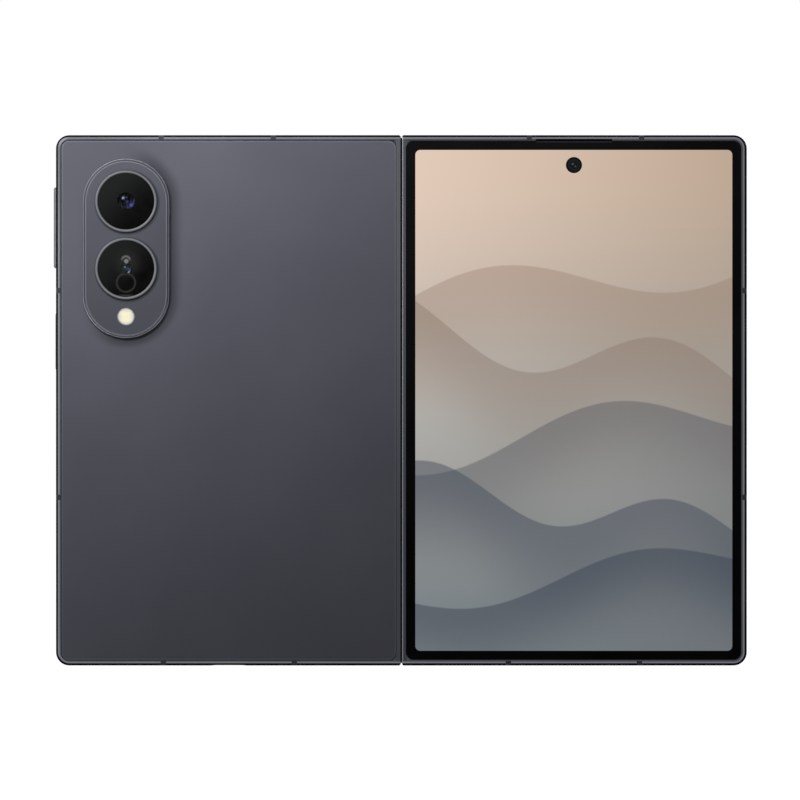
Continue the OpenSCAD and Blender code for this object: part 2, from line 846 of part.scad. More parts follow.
module camera_island() {
    color("#4a4a53") rear_side() difference() {
        union() {
            island_shell();
            island_hole(1.3, glass_sink - e, glass_pocket + 0.3);
        }
        for (z = lens_zs) at(island_x, z, -5) cylinder(d = ring_d - 1.2, h = 10);
        for (z = lens_zs) at(island_x, z, -5) cylinder(d = ring_d, h = 5 + glass_sink - island_t + ring_seat_t);
        at(island_x, flash_z, -5) cylinder(d = flash_d + 0.1, h = 10);
    }
}

module lens_rings() {
    color("#2f2f35") rear_side() for (z = lens_zs) at(island_x, z, ring_face_d) difference() {
        union() {
            cylinder(d = ring_d - 0.1, h = ring_t + ring_seat_t);
            cylinder(d = ring_d - 1.3, h = island_t + ring_t - 0.1);
        }
        translate([0, 0, -1]) cylinder(d = lens_d + 0.04, h = 1.6);
        cylinder(d = lens_d - 1.4, h = 5);
    }
}

module lens_glasses() {
    color("#0c0c10") rear_side() for (z = lens_zs) at(island_x, z, ring_face_d + 0.1) {
        cylinder(d = lens_d, h = 0.5);
    }
}

module flash_lens() {
    color("#efe3c4") rear_side() at(island_x, flash_z, glass_sink - island_t + 0.05)
        cylinder(d = flash_d, h = 0.9);
}

module flash_lamp() {
    color("#e8c45a") rear_side() at(island_x, flash_z, glass_sink - island_t + 1) {
        translate([-1.3, -1.3, 0]) cube([2.6, 2.6, 0.5]);
        cylinder(d = 3.9, h = 0.4);
    }
}

// a square block with a barrel that ends under the cover glass, and an opening in the barrel
module camera_module(z, barrel_d, opening_d) {
    difference() {
        union() {
            block([island_x - camera_w / 2, island_x + camera_w / 2], [z - camera_w / 2, z + camera_w / 2],
                [glass_pocket + 0.4, part_top]);
            at(island_x, z, ring_face_d + 0.7) cylinder(d = barrel_d, h = 4 - glass_sink);
        }
        at(island_x, z, -5) cylinder(d = opening_d, h = 5 + ring_face_d + 1.1);
    }
}

module camera_module_upper() {
    color("#1a1a1f") rear_side() camera_module(lens_zs[1], 9, 5);
}

module camera_module_lower() {
    color("#1a1a1f") rear_side() camera_module(lens_zs[0], 8, 4);
}

module inner_camera() {
    color("#1a1a1f") rear_side() {
        block([front_camera_x - 2.6, front_camera_x + 2.6], [front_camera_z - 2.6, front_camera_z + 2.6],
            [glass_pocket + 0.5, part_top]);
        at(front_camera_x, front_camera_z, part_top - 0.1)
            cylinder(d = inner_camera_d - 0.2, h = panel_front - part_top - 0.2);
    }
}

module main_board() {
    color("#1f5a3c") rear_side() difference() {
        block([board_x0, main_board_x1], [main_board_z0, body_h - wall_t - 0.5], [board_d, board_d + board_t]);
        at(front_camera_x, front_camera_z, 0) linear_extrude(height = 10) square(6, center = true);
        for (p = frame_screws) at(p[0], p[1], 0) cylinder(d = screw_hole_d, h = 10);
    }
}

module shield_block(inset, d1) {
    block([board_x0 + 1.5 + inset, main_board_x1 - 2.5 - inset],
        [main_board_z0 + 3 + inset, front_camera_z - 4 - inset], [glass_pocket + 0.5 + inset, d1]);
}

module board_shield() {
    color("#b9bcc0") rear_side() difference() {
        shield_block(0, board_d - 0.02);
        shield_block(shield_t, board_d + 1);
    }
}

rear_battery_z = [port_board_z1 + 2, main_board_z0 - 4.5];

module rear_battery() {
    color("#2d2f33") rear_side() slab(glass_pocket + 0.55, part_top)
        even_plan(board_x0, battery_x1, rear_battery_z[0], rear_battery_z[1], 1.5);
}

// lies flat on the middle of the battery
module charging_coil() {
    x = (board_x0 + battery_x1) / 2;
    z = (rear_battery_z[0] + rear_battery_z[1]) / 2;
    color("#b5703a") rear_side() at(x, z, glass_pocket + 0.12) difference() {
        cylinder(d = coil_d, h = 0.4);
        translate([0, 0, -1]) cylinder(d = coil_d - 2 * coil_band, h = 3);
    }
}

module port_shell() {
    color("#a9acb1") rear_side() difference() {
        port_hole(0, port_bevel_depth + 0.05, wall_t + 5.5);
        port_hole(-0.3, -1, wall_t + 5.2);
    }
}

module port_tongue() {
    color("#17171a") rear_side() translate([port_x, mid_d - half_t / 2, 0]) {
        translate([-3.3, -0.35, 1.2]) cube([6.6, 0.7, wall_t + 4 - 1.2]);
    }
}

module port_board() {
    color("#1f5a3c") rear_side() difference() {
        block([board_x0, port_board_x1], [8.5, port_board_z1], [board_d, board_d + board_t]);
        block([port_x - 4.9, port_x + 4.9], [0, wall_t + 5.8], [0, 10]);
        for (p = frame_screws) at(p[0], p[1], 0) cylinder(d = screw_hole_d, h = 10);
    }
}

module loudspeaker() {
    color("#202024") rear_side() slab(glass_pocket + 0.3, part_top)
        even_plan(port_board_x1 + 2, half_w - wall_t - 0.8, wall_t + 0.6, port_board_z1 - 2.5, 1);
}

module vibration_motor() {
    motor_x1 = port_x - 8.3;
    color("#a7a9ad") rear_side() slab(glass_pocket + 0.6, board_d - 0.05)
        even_plan(motor_x1 - 10, motor_x1, wall_t + 0.8, port_board_z1 - 2, 0.8);
}

module key_switches() {
    color("#c8a24a") rear_side() for (z = concat(volume_switch_zs, [side_key_z])) {
        block([half_w - wall_t - 1.2, half_w - wall_t - 0.6], [z - 1.6, z + 1.6], [mid_d - 1.2, mid_d + 1.1]);
        translate([half_w - wall_t - 0.6, mid_d - half_t / 2, z])
            rotate([0, 90, 0]) cylinder(d = 1.6, h = 0.15);
    }
}

// heads on the boards, shanks in the plate behind the inner display
module frame_screws_at(spots) {
    for (p = spots) at(p[0], p[1], board_d - 0.37) {
        cylinder(d = 1.8, h = 0.35);
        cylinder(d = 0.9, h = plate_back - board_d + plate_t + 0.2);
    }
}

module bracket_screws() {
    for (i = [0, 1]) hinge_module(i) for (z = screw_zs) {
        at(bracket_screw_x, z, plate_front - 0.5) cylinder(d = 1.9, h = 0.4);
        at(bracket_screw_x, z, bracket_d0 - 0.3) cylinder(d = 0.96, h = plate_front - 0.4 - bracket_d0 + 0.3);
    }
}

module rear_screws() {
    color("#cfd1d4") rear_side() {
        frame_screws_at(frame_screws);
        bracket_screws();
    }
}

// keys

// a cap with a bevelled edge, a flange that keeps it in the wall, and a stem for each switch
module key(z, l, proud, bevel, switch_zs) {
    shank = 1.2 + proud;
    translate([half_w - 1.2, mid_d - half_t / 2, z]) rotate([0, 90, 0]) hull() {
        linear_extrude(height = shank - bevel) stadium(l, key_w);
        linear_extrude(height = shank) stadium(l - 2 * bevel, key_w - 2 * bevel);
    }
    block([half_w - 1.6, half_w - 1.1], [z - l / 2 - 0.4, z + l / 2 + 0.4],
        [mid_d - key_w / 2 - 0.15, mid_d + key_w / 2 + 0.15]);
    for (stem_z = switch_zs) translate([half_w - wall_t - 0.2, mid_d - half_t / 2, stem_z])
        rotate([0, 90, 0]) cylinder(d = 1.4, h = wall_t - 1.3);
}

module volume_key() {
    color("#55545b") rear_side() key(volume_z, volume_l, volume_proud, 0.25, volume_switch_zs);
}

module side_key() {
    color("#55545b") rear_side() key(side_key_z, side_key_l, side_key_proud, 0.1, [side_key_z]);
}

// cover half

module cover_panel_plan(gap) {
    inset = cover_rim + 0.6 + gap;
    even_plan(fold_strip + 1.4 + gap, half_w - inset, inset, body_h - inset, 1.3);
}

module tray_way(gap) {
    d = [mid_d - tray_t / 2 - gap, mid_d + tray_t / 2 + gap];
    block([tray_x - tray_w / 2 - gap, tray_x + tray_w / 2 + gap], [body_h - tray_l - gap, body_h + 1], d);
}

module ear_duct() {
    z = body_h - cover_rim;
    block([front_camera_x - 6, front_camera_x + 6], [body_h - wall_t - 0.5, z], [glass_pocket + 0.1, 2.6]);
    block([front_camera_x - ear_slot_l / 2, front_camera_x + ear_slot_l / 2], [z - 0.5, z],
        [glass_pocket - e, glass_pocket + 0.3]);
}

module cover_frame() {
    color("#5b5a61") difference() {
        half_frame(cover_rim);
        slab(glass_pocket - e, cover_panel_pocket) cover_panel_plan(0);
        cavity(cover_panel_pocket - e);
        cable_way();
        tray_way(slide_gap);
        ear_duct();
        for (x = [front_camera_x - 7.3, front_camera_x + 7.2]) sound_hole(x, 0);
        frame_screw_holes(frame_screws_cover);
    }
}

module cover_antenna_breaks() {
    color("#3d3d43") half_breaks(cover_rim);
}

module cover_glass() {
    color("#131316") difference() {
        slab(glass_sink, glass_pocket) glass_plan(cover_rim, glass_joint);
        block([front_camera_x - ear_slot_l / 2, front_camera_x + ear_slot_l / 2],
            [body_h - cover_rim - glass_joint - ear_slot_h, body_h], [-1, 2]);
    }
}

module earpiece_mesh() {
    color("#3b3b40") block([front_camera_x - ear_slot_l / 2 + 0.1, front_camera_x + ear_slot_l / 2 - 0.1],
        [body_h - cover_rim - glass_joint - ear_slot_h + 0.04, body_h - cover_rim - 0.04],
        [glass_sink + 0.15, glass_pocket]);
}

module cover_display() {
    color("#a8a39a") difference() {
        slab(glass_pocket, glass_pocket + cover_panel_t) cover_panel_plan(0.1);
        at(front_camera_x, front_camera_z, 0) cylinder(d = front_camera_d, h = 5);
    }
}

module front_camera() {
    color("#1a1a1f") {
        block([front_camera_x - 2.7, front_camera_x + 2.7], [front_camera_z - 2.7, front_camera_z + 2.2],
            [cover_panel_pocket + 0.1, part_top]);
        at(front_camera_x, front_camera_z, glass_pocket + 0.05) cylinder(d = front_camera_d - 0.3, h = 1);
    }
}

module earpiece() {
    color("#202024") block([front_camera_x - 6, front_camera_x + 6],
        [front_camera_z + 2.4, body_h - wall_t - 0.1], [cover_panel_pocket + 0.2, part_top]);
}

module cover_battery() {
    color("#2d2f33") slab(cover_panel_pocket + 0.25, part_top)
        even_plan(board_x0, battery_x1, low_board_z1 + 2, high_board_z0 - 1.5, 1.5);
}

module cover_board() {
    d = [board_d, board_d + board_t];
    color("#1f5a3c") difference() {
        union() {
            block([board_x0, cover_board_x1], [high_board_z0, body_h - wall_t - 0.5], d);
            block([board_x0, half_w - wall_t - 0.5], [wall_t + 0.5, low_board_z1], d);
        }
        block([front_camera_x - 6.4, front_camera_x + 6.4], [front_camera_z - 3.2, body_h], [0, 10]);
        for (p = frame_screws_cover) at(p[0], p[1], 0) cylinder(d = screw_hole_d, h = 10);
    }
}

module sim_reader() {
    wall = 0.3;
    d = [mid_d - tray_t / 2 - slide_gap - wall, mid_d + tray_t / 2 + slide_gap + wall];
    color("#b9bcc0") difference() {
        block([tray_x - tray_w / 2 - slide_gap - wall, tray_x + tray_w / 2 + slide_gap + wall],
            [body_h - tray_l - slide_gap - wall, body_h - wall_t - 0.1], d);
        tray_way(slide_gap);
    }
}

module sim_tray() {
    cap = wall_t / 2;
    color("#5b5a61") difference() {
        block([tray_x - tray_w / 2, tray_x + tray_w / 2], [body_h - tray_l, body_h - 0.02],
            [mid_d - tray_t / 2, mid_d + tray_t / 2]);
        block([tray_x - tray_w / 2 + 0.8, tray_x + tray_w / 2 - 0.8],
            [body_h - tray_l + 0.8, body_h - wall_t - cap], [mid_d - 0.2, mid_d + 2]);
        translate([tray_x + tray_w / 2 - 2, mid_d - half_t / 2, body_h - 1.4])
            cylinder(d = sound_hole_d, h = 3);
    }
}

module cover_screws() {
    color("#cfd1d4") {
        frame_screws_at(frame_screws_cover);
        bracket_screws();
    }
}

spine_cover();
hinge_base_lower();
hinge_base_upper();
spine_end_caps();
center_plate();
gear_shafts();
detent_springs();
spine_screws();
inner_display_fold();
fold_flex_cable();
hinge_arm_rear_lower();
hinge_arm_rear_upper();
hinge_arm_cover_lower();
hinge_arm_cover_upper();
idler_gears_rear();
idler_gears_cover();
support_plate_rear();
support_plate_cover();
rear_frame();
rear_antenna_breaks();
rear_glass();
camera_island();
lens_rings();
lens_glasses();
flash_lens();
flash_lamp();
camera_module_upper();
camera_module_lower();
inner_camera();
main_board();
board_shield();
rear_battery();
charging_coil();
port_shell();
port_tongue();
port_board();
loudspeaker();
vibration_motor();
key_switches();
inner_display_rear();
rear_bezel();
rear_screws();
hinge_bracket_rear();
volume_key();
side_key();
cover_frame();
cover_antenna_breaks();
cover_glass();
cover_display();
front_camera();
earpiece();
earpiece_mesh();
cover_battery();
cover_board();
sim_reader();
sim_tray();
inner_display_cover();
cover_bezel();
cover_screws();
hinge_bracket_cover();
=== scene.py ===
"""A folding phone, opened flat, seen square on from its outer side."""
import json
import math

import bmesh
import bpy
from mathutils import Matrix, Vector


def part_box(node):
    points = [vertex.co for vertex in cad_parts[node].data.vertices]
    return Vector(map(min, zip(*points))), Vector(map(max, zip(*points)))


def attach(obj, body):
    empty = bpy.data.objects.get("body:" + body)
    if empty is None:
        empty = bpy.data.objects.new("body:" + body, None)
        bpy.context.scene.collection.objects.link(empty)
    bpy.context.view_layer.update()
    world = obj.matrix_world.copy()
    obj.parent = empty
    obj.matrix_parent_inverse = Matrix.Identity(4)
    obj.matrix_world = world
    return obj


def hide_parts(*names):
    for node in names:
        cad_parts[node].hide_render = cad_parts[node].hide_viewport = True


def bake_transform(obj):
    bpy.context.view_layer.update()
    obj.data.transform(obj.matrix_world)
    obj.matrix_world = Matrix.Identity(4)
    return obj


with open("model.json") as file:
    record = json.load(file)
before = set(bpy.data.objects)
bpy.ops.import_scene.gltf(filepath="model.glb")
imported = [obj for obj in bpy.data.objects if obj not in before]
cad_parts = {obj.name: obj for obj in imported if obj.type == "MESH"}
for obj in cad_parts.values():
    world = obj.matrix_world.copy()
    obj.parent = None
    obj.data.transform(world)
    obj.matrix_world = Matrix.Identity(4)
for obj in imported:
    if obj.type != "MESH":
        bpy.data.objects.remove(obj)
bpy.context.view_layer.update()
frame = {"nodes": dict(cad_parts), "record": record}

MM = 0.001
NODES = frame["nodes"]
SLOT_OF = {row["node"]: row["material_slot"] for row in frame["record"]["subparts"]}


# Sizes and places are in mm and the CAD's own: x across with the fold at 0, y in depth from the
# outer face to the inner one, z up from the bottom edge.
def reach(axis, node, last=None):
    """The range that a CAD node, or a row from it to the last node, fills along an axis."""
    k = "xyz".index(axis)
    return round(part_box(node)[0][k] / MM, 2), round(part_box(last or node)[1][k] / MM, 2)


def middle_of(axis, node):
    return sum(reach(axis, node)) / 2


def outline(radius, node, last=None):
    """A node's outline, seen from the front: its range in x, in z and the corners' radius."""
    return reach("x", node, last), reach("z", node, last), radius


def within(ends, margin):
    """A range that ends inside another one by that margin."""
    low, high = ends
    return low + margin, high - margin


OUTER = reach("y", "rear_frame")[0]
BODY = outline(3.1, "rear_frame", "cover_frame")
BACK_GLASS = outline(1.75, "rear_glass")
ISLAND = outline(10.15, "camera_island")

# The lit outlines of both screens, and the wider range that the inner picture is laid over.
COVER_SCREEN = ((3.26, 77.28), (3.46, 120.43), 1.15)
INNER_X = reach("x", "inner_display_rear", "inner_display_cover")
INNER_Z = reach("z", "inner_display_fold")
INNER_SCREEN = (within(INNER_X, 1.35), within(INNER_Z, 1.25), 0.9)
INNER_PICTURE = (*within(INNER_X, 0.8), *within(INNER_Z, 0.7))

# Middles of round things, in x and z. The front camera stands as high as the inner one.
MID_X = middle_of("x", "earpiece_mesh")
LENS_X = middle_of("x", "camera_island")
UPPER_Z = middle_of("z", "camera_module_upper")
LOWER_Z = middle_of("z", "camera_module_lower")
FLASH = (LENS_X, middle_of("z", "flash_lens"))
INNER_CAMERA = (-MID_X, middle_of("z", "inner_camera"))
FRONT_CAMERA = (MID_X, INNER_CAMERA[1])

# Where a screen ends round its camera, as the two ends of the soft step.
CAMERA_HOLE = (1.86, 1.92)
# How strongly a metal shines where it is seen at a low angle.
METAL_EDGE = (0.3, 0.3, 0.31, 1)
# The frame's profile, in mm from its outline: the soft steps where the bevel and the lip begin,
# and the middle and width of the bevel's painted highlight line and of the dark joint beside
# the glass.
BEVEL_START, LIP_START = (0.4, 0.54), (0.95, 1.1)
RIDGE_HIGHLIGHT, JOINT_AT, JOINT_WIDTH = (0.68, 0.34), 1.24, 0.16
# Half the earpiece slot's length.
SLOT_HALF = 8.9
# The lens rings' profile, in mm from the lens's middle: the bore's painted shade, the ridge's
# painted highlight and the outer flank's painted shade.
RING_BORE, RING_RIDGE, RING_FLANK = (6.52, 6.42), 6.9, (7.0, 7.22)
# Pitch of the fine turning on the lens rings, and of the rings pressed into the flash's face.
TURNING_PITCH, FLASH_PITCH = 0.09, 0.22
# The inputs of a Mix node that take its factor and its two colours.
MIX_FACTOR, MIX_A, MIX_B = 0, 6, 7


# Materials
def linear(r, g, b):
    """A colour given as the eye reads it, 0 to 255, as the linear values that a socket takes."""
    def one(v):
        v /= 255
        return v / 12.92 if v <= 0.04045 else ((v + 0.055) / 1.055) ** 2.4

    return (one(r), one(g), one(b), 1.0)


def lighter(tone, amount):
    """That colour with its three values raised by the amount, as linear values."""
    return linear(*(v + amount for v in tone))


class Paint:
    """A material's node tree, with short names for the nodes used again and again."""

    def __init__(self, name, place="object", **sockets):
        self.material = bpy.data.materials.new(name)
        self.material.use_nodes = True
        self.tree = self.material.node_tree
        self.shader = next(n for n in self.tree.nodes if n.type == "BSDF_PRINCIPLED")
        self.set(**sockets)
        if place == "object":
            source = self.tree.nodes.new("ShaderNodeTexCoord").outputs["Object"]
        else:
            rest = self.tree.nodes.new("ShaderNodeAttribute")
            rest.attribute_name = place
            source = rest.outputs["Vector"]
        scaled = self.tree.nodes.new("ShaderNodeVectorMath")
        scaled.operation = "SCALE"
        scaled.inputs["Scale"].default_value = 1 / MM
        self.tree.links.new(source, scaled.inputs[0])
        self.at = scaled.outputs["Vector"]
        split = self.tree.nodes.new("ShaderNodeSeparateXYZ")
        self.tree.links.new(self.at, split.inputs[0])
        self.x, self.y, self.z = split.outputs

    def set(self, **sockets):
        """Sets or links the shader's own sockets; a name's underscores are the socket's spaces."""
        for name, value in sockets.items():
            socket = self.shader.inputs[name.replace("_", " ").title().replace("Ior", "IOR")]
            self.put(socket, value)

    def put(self, socket, value):
        """Links or sets one socket; None leaves it as it is."""
        if isinstance(value, bpy.types.NodeSocket):
            self.tree.links.new(value, socket)
        elif value is not None:
            socket.default_value = value

    def math(self, operation, a, b=None, c=None):
        node = self.tree.nodes.new("ShaderNodeMath")
        node.operation = operation
        for socket, value in zip(node.inputs, (a, b, c)):
            self.put(socket, value)
        return node.outputs[0]

    def add(self, a, b):
        return self.math("ADD", a, b)

    def less(self, a, b):
        return self.math("SUBTRACT", a, b)

    def times(self, first, *others):
        for other in others:
            first = self.math("MULTIPLY", first, other)
        return first

    def either(self, a, b):
        return self.math("MAXIMUM", a, b)

    def absolute(self, value):
        return self.math("ABSOLUTE", value)

    def step(self, value, low, high):
        """0 below low, 1 above high, smooth between; low above high turns it round."""
        node = self.tree.nodes.new("ShaderNodeMapRange")
        node.interpolation_type = "SMOOTHSTEP"
        turned = low > high
        self.put(node.inputs["Value"], value)
        node.inputs["From Min"].default_value = min(low, high)
        node.inputs["From Max"].default_value = max(low, high)
        node.inputs["To Min"].default_value = float(turned)
        node.inputs["To Max"].default_value = float(not turned)
        return node.outputs["Result"]

    def mix(self, factor, a, b):
        """Colour a where the factor is 0, colour b where it is 1."""
        node = self.tree.nodes.new("ShaderNodeMix")
        node.data_type = "RGBA"
        for index, value in ((MIX_FACTOR, factor), (MIX_A, a), (MIX_B, b)):
            self.put(node.inputs[index], value)
        return node.outputs[2]

    def lay(self, colour, tone, where, strength=None):
        """The colour, with a tone, 0 to 255, laid over it where the mask is 1."""
        factor = where if strength is None else self.times(where, strength)
        return self.mix(factor, colour, linear(*tone))

    def noise(self, scale, detail=2.0, rough=0.5, stretch=None):
        """Noise whose grains are about 1/scale mm across; stretch scales x, y and z first."""
        node = self.tree.nodes.new("ShaderNodeTexNoise")
        place = self.at
        if stretch:
            mapped = self.tree.nodes.new("ShaderNodeVectorMath")
            mapped.operation = "MULTIPLY"
            self.tree.links.new(self.at, mapped.inputs[0])
            mapped.inputs[1].default_value = stretch
            place = mapped.outputs[0]
        self.tree.links.new(place, node.inputs["Vector"])
        node.inputs["Scale"].default_value = scale
        node.inputs["Detail"].default_value = detail
        node.inputs["Roughness"].default_value = rough
        return node.outputs["Fac"]

    def bump(self, height, distance):
        """Bump of that height, with the distance in mm that a height of 1 stands for."""
        node = self.tree.nodes.new("ShaderNodeBump")
        node.inputs["Strength"].default_value = 1.0
        node.inputs["Distance"].default_value = distance * MM
        self.put(node.inputs["Height"], height)
        self.set(normal=node.outputs["Normal"])

    def edges(self, radius=0.25, low=0.02, high=0.12):
        """1 on the sharp edges, from the difference between the face's and the rounded normal."""
        bevel = self.tree.nodes.new("ShaderNodeBevel")
        bevel.samples = 4
        bevel.inputs["Radius"].default_value = radius * MM
        flat = self.tree.nodes.new("ShaderNodeNewGeometry")
        dot = self.tree.nodes.new("ShaderNodeVectorMath")
        dot.operation = "DOT_PRODUCT"
        self.tree.links.new(bevel.outputs[0], dot.inputs[0])
        self.tree.links.new(flat.outputs["Normal"], dot.inputs[1])
        return self.step(self.less(1.0, dot.outputs["Value"]), low, high)

    def inset(self, x_range, z_range, radius):
        """Distance in mm inward from the outline of a rectangle with rounded corners."""
        distances = []
        for value, (low, high) in ((self.x, x_range), (self.z, z_range)):
            middle, half = (low + high) / 2, (high - low) / 2 - radius
            distances.append(self.less(self.absolute(self.less(value, middle)), half))
        out = [self.either(d, 0.0) for d in distances]
        squares = [self.times(d, d) for d in out]
        corner = self.math("SQRT", self.add(*squares))
        inside = self.math("MINIMUM", self.either(*distances), 0.0)
        return self.less(radius, self.add(corner, inside))

    def box_mask(self, x_range, z_range, radius, soft=0.03):
        """1 inside a rectangle with rounded corners."""
        return self.step(self.inset(x_range, z_range, radius), -soft, soft)

    def line(self, value, middle, width):
        """1 where the value is within a line of that width, in mm, with soft sides."""
        return self.step(self.absolute(self.less(value, middle)), width * 0.75, width * 0.25)

    def distance(self, x, z):
        """Distance in mm from the line through (x, z) along Y."""
        dx, dz = self.less(self.x, x), self.less(self.z, z)
        return self.math("SQRT", self.add(self.times(dx, dx), self.times(dz, dz)))


def plain(name, dark, light, rough, metal=0.0, grain=0.8, bump=0.01, wear=None, stretch=None,
          **more):
    """Two near shades with grain and uneven roughness; wear is the amount and tone of its edges."""
    rough_range = 0.06
    paint = Paint(name, metallic=metal, **more)
    cloud = paint.noise(grain * 0.12, 3.0)
    fine = paint.noise(grain, 2.0, 0.6, stretch)
    shade = paint.step(paint.add(paint.times(cloud, 0.7), paint.times(fine, 0.3)), 0.35, 0.65)
    colour = paint.mix(shade, linear(*dark), linear(*light))
    if wear:
        amount, worn = wear
        rubbed = paint.times(paint.edges(), paint.step(paint.noise(0.9, 4.0), 0.4, 0.65))
        colour = paint.lay(colour, worn, rubbed, amount)
    roughness = paint.add(paint.times(fine, rough_range * 2), rough - rough_range)
    paint.set(base_color=colour, roughness=roughness)
    paint.bump(fine, bump)
    return paint.material


def fold_strip(paint, inward):
    """The strip of metal on both sides of the fold: painted lighter towards the top, darker on the
    cover's side but for a painted highlight at the fold, with a painted shadow in its joint.
    """
    strip = paint.mix(paint.step(paint.z, 20.0, 118.0), linear(58, 59, 64), linear(86, 87, 93))
    strip = paint.lay(strip, (44, 45, 50), paint.step(paint.x, 0.4, 0.6), 0.4)
    shadow = paint.times(paint.step(paint.x, 1.0, 1.1), paint.step(inward, 2.3, 2.8))
    return paint.lay(strip, (6, 6, 7), shadow)


def earpiece_slot_shade(paint, inward):
    """1 in the slot between the frame and the cover glass that the earpiece speaks through, and on
    the frame's lip beside it: the slot's painted shade.
    """
    beside = paint.absolute(paint.less(paint.x, MID_X))
    along = paint.step(beside, SLOT_HALF + 0.05, SLOT_HALF - 0.05)
    outer_side = paint.step(paint.y, 0, -1)
    high = paint.times(paint.step(paint.z, 122.4, 122.5), paint.step(inward, 0.85, 0.95))
    return paint.times(along, outer_side, high)


def frame_metal(name, light, middle, dark):
    """Anodised aluminium: a satin bevel round each face, painted lighter as a highlight, a darker
    lip inside it, and flanks painted dark as shade beside the outer face.
    """
    paint = Paint(name, metallic=1.0, specular_tint=METAL_EDGE)
    cloud = paint.step(paint.noise(0.06, 3.0), 0.35, 0.65)
    grain = paint.noise(14.0, 2.0, 0.7)
    brushed = paint.noise(5.0, 2.0, 0.6, stretch=(0.2, 6.0, 0.2))
    ridge, inner, flank = (paint.mix(cloud, linear(*tone), lighter(tone, 6))
                           for tone in (light, middle, dark))

    # The bevel starts a little later along the bottom and the right.
    inward = paint.inset(*BODY)
    late = paint.either(paint.step(paint.z, 3.0, 1.5), paint.step(paint.x, 79.0, 80.0))
    bevel = paint.step(paint.less(inward, paint.times(late, 0.1)), *BEVEL_START)
    lip = paint.step(inward, *LIP_START)
    across = paint.absolute(paint.x)

    # Flanks: painted dark as shade beside the outer face, lighter behind it, with rubbed spots
    # along their edges.
    spots = paint.step(paint.noise(0.25, 5.0, 0.7), 0.6, 0.72)
    worn = paint.times(spots, paint.edges(0.2, 0.02, 0.15))
    behind = paint.step(paint.y, -2.0, -1.8)
    flank = paint.lay(flank, (74, 75, 80), behind)
    flank = paint.lay(flank, (100, 100, 104), worn, 0.15)

    # The bevel's painted highlight line, painted shade near the top left corner, and the strips
    # at the fold.
    corner = paint.step(paint.distance(-81.0, 124.0), 30.0, 4.0)
    ridge = paint.lay(ridge, (118, 119, 124), paint.line(inward, *RIDGE_HIGHLIGHT), 0.8)
    ridge = paint.lay(ridge, (74, 75, 80), corner, 0.7)
    inner = paint.mix(paint.step(across, 1.4, 1.2), inner, fold_strip(paint, inward))
    colour = paint.mix(bevel, flank, paint.mix(lip, ridge, inner))

    # The dark joint beside the glass, the painted highlight along the fold and the painted shade
    # of the earpiece's slot.
    seam = paint.add(JOINT_AT, paint.times(paint.step(paint.x, -0.1, 0.1), 0.08))
    joint = paint.times(paint.line(inward, seam, JOINT_WIDTH), paint.step(across, 1.5, 1.8))
    colour = paint.lay(colour, (34, 34, 38), joint, 0.7)
    shine = paint.times(paint.line(paint.x, 0.27, 0.2), bevel)
    colour = paint.lay(colour, (134, 135, 141), shine, 0.9)
    colour = paint.lay(colour, (6, 6, 7), earpiece_slot_shade(paint, inward))

    streaks = paint.add(paint.times(brushed, 0.08), 0.34)
    roughness = paint.add(paint.times(paint.less(grain, 0.5), 0.2), streaks)
    paint.set(base_color=colour, roughness=roughness)
    slope = paint.step(inward, 0.2, 1.15)
    paint.bump(paint.add(paint.times(grain, 0.003), paint.times(slope, 0.1)), 1.0)
    return paint.material


# The hills of the picture on the screens, from the back: height of the crest, how far it swings,
# waves across, their phase, tilt, depth of the mist below it, strength, colour.
HILLS = (
    (0.74, 0.055, 0.8, 0.4, 0.10, 0.30, 0.42, (150, 124, 106)),
    (0.60, 0.060, 1.1, 2.4, -0.12, 0.26, 0.50, (140, 122, 110)),
    (0.44, 0.050, 0.9, 4.4, 0.08, 0.26, 0.60, (98, 99, 104)),
    (0.29, 0.045, 1.3, 1.2, -0.10, 0.24, 0.62, (74, 82, 96)),
    (0.15, 0.035, 1.0, 3.4, 0.09, 0.20, 0.60, (62, 70, 84)),
)


def wallpaper(paint, left, right, bottom, top):
    """A generic picture of soft hills in mist, peach above and slate below, as a colour."""
    across = paint.math("DIVIDE", paint.less(paint.x, left), right - left)
    up = paint.math("DIVIDE", paint.less(paint.z, bottom), top - bottom)
    rise = paint.step(up, 0.42, 1.0)
    sky_left = paint.mix(rise, linear(178, 175, 170), linear(226, 202, 184))
    sky_right = paint.mix(rise, linear(156, 155, 150), linear(190, 168, 148))
    sky = paint.mix(across, sky_left, sky_right)
    low = paint.mix(across, linear(122, 130, 134), linear(108, 114, 119))
    colour = paint.mix(paint.step(up, 0.55, 0.02), sky, low)
    for height, swing, waves, phase, tilt, depth, strength, tone in HILLS:
        turn = paint.math("MULTIPLY_ADD", across, 2 * math.pi * waves, phase)
        slant = paint.math("MULTIPLY_ADD", across, tilt, height - tilt / 2)
        edge = paint.add(paint.times(paint.math("SINE", turn), swing), slant)
        under = paint.less(edge, up)
        crest = paint.step(under, 0.0, 0.004)
        mist = paint.step(under, depth, 0.0)
        colour = paint.lay(colour, tone, paint.times(crest, mist), strength)
    return colour


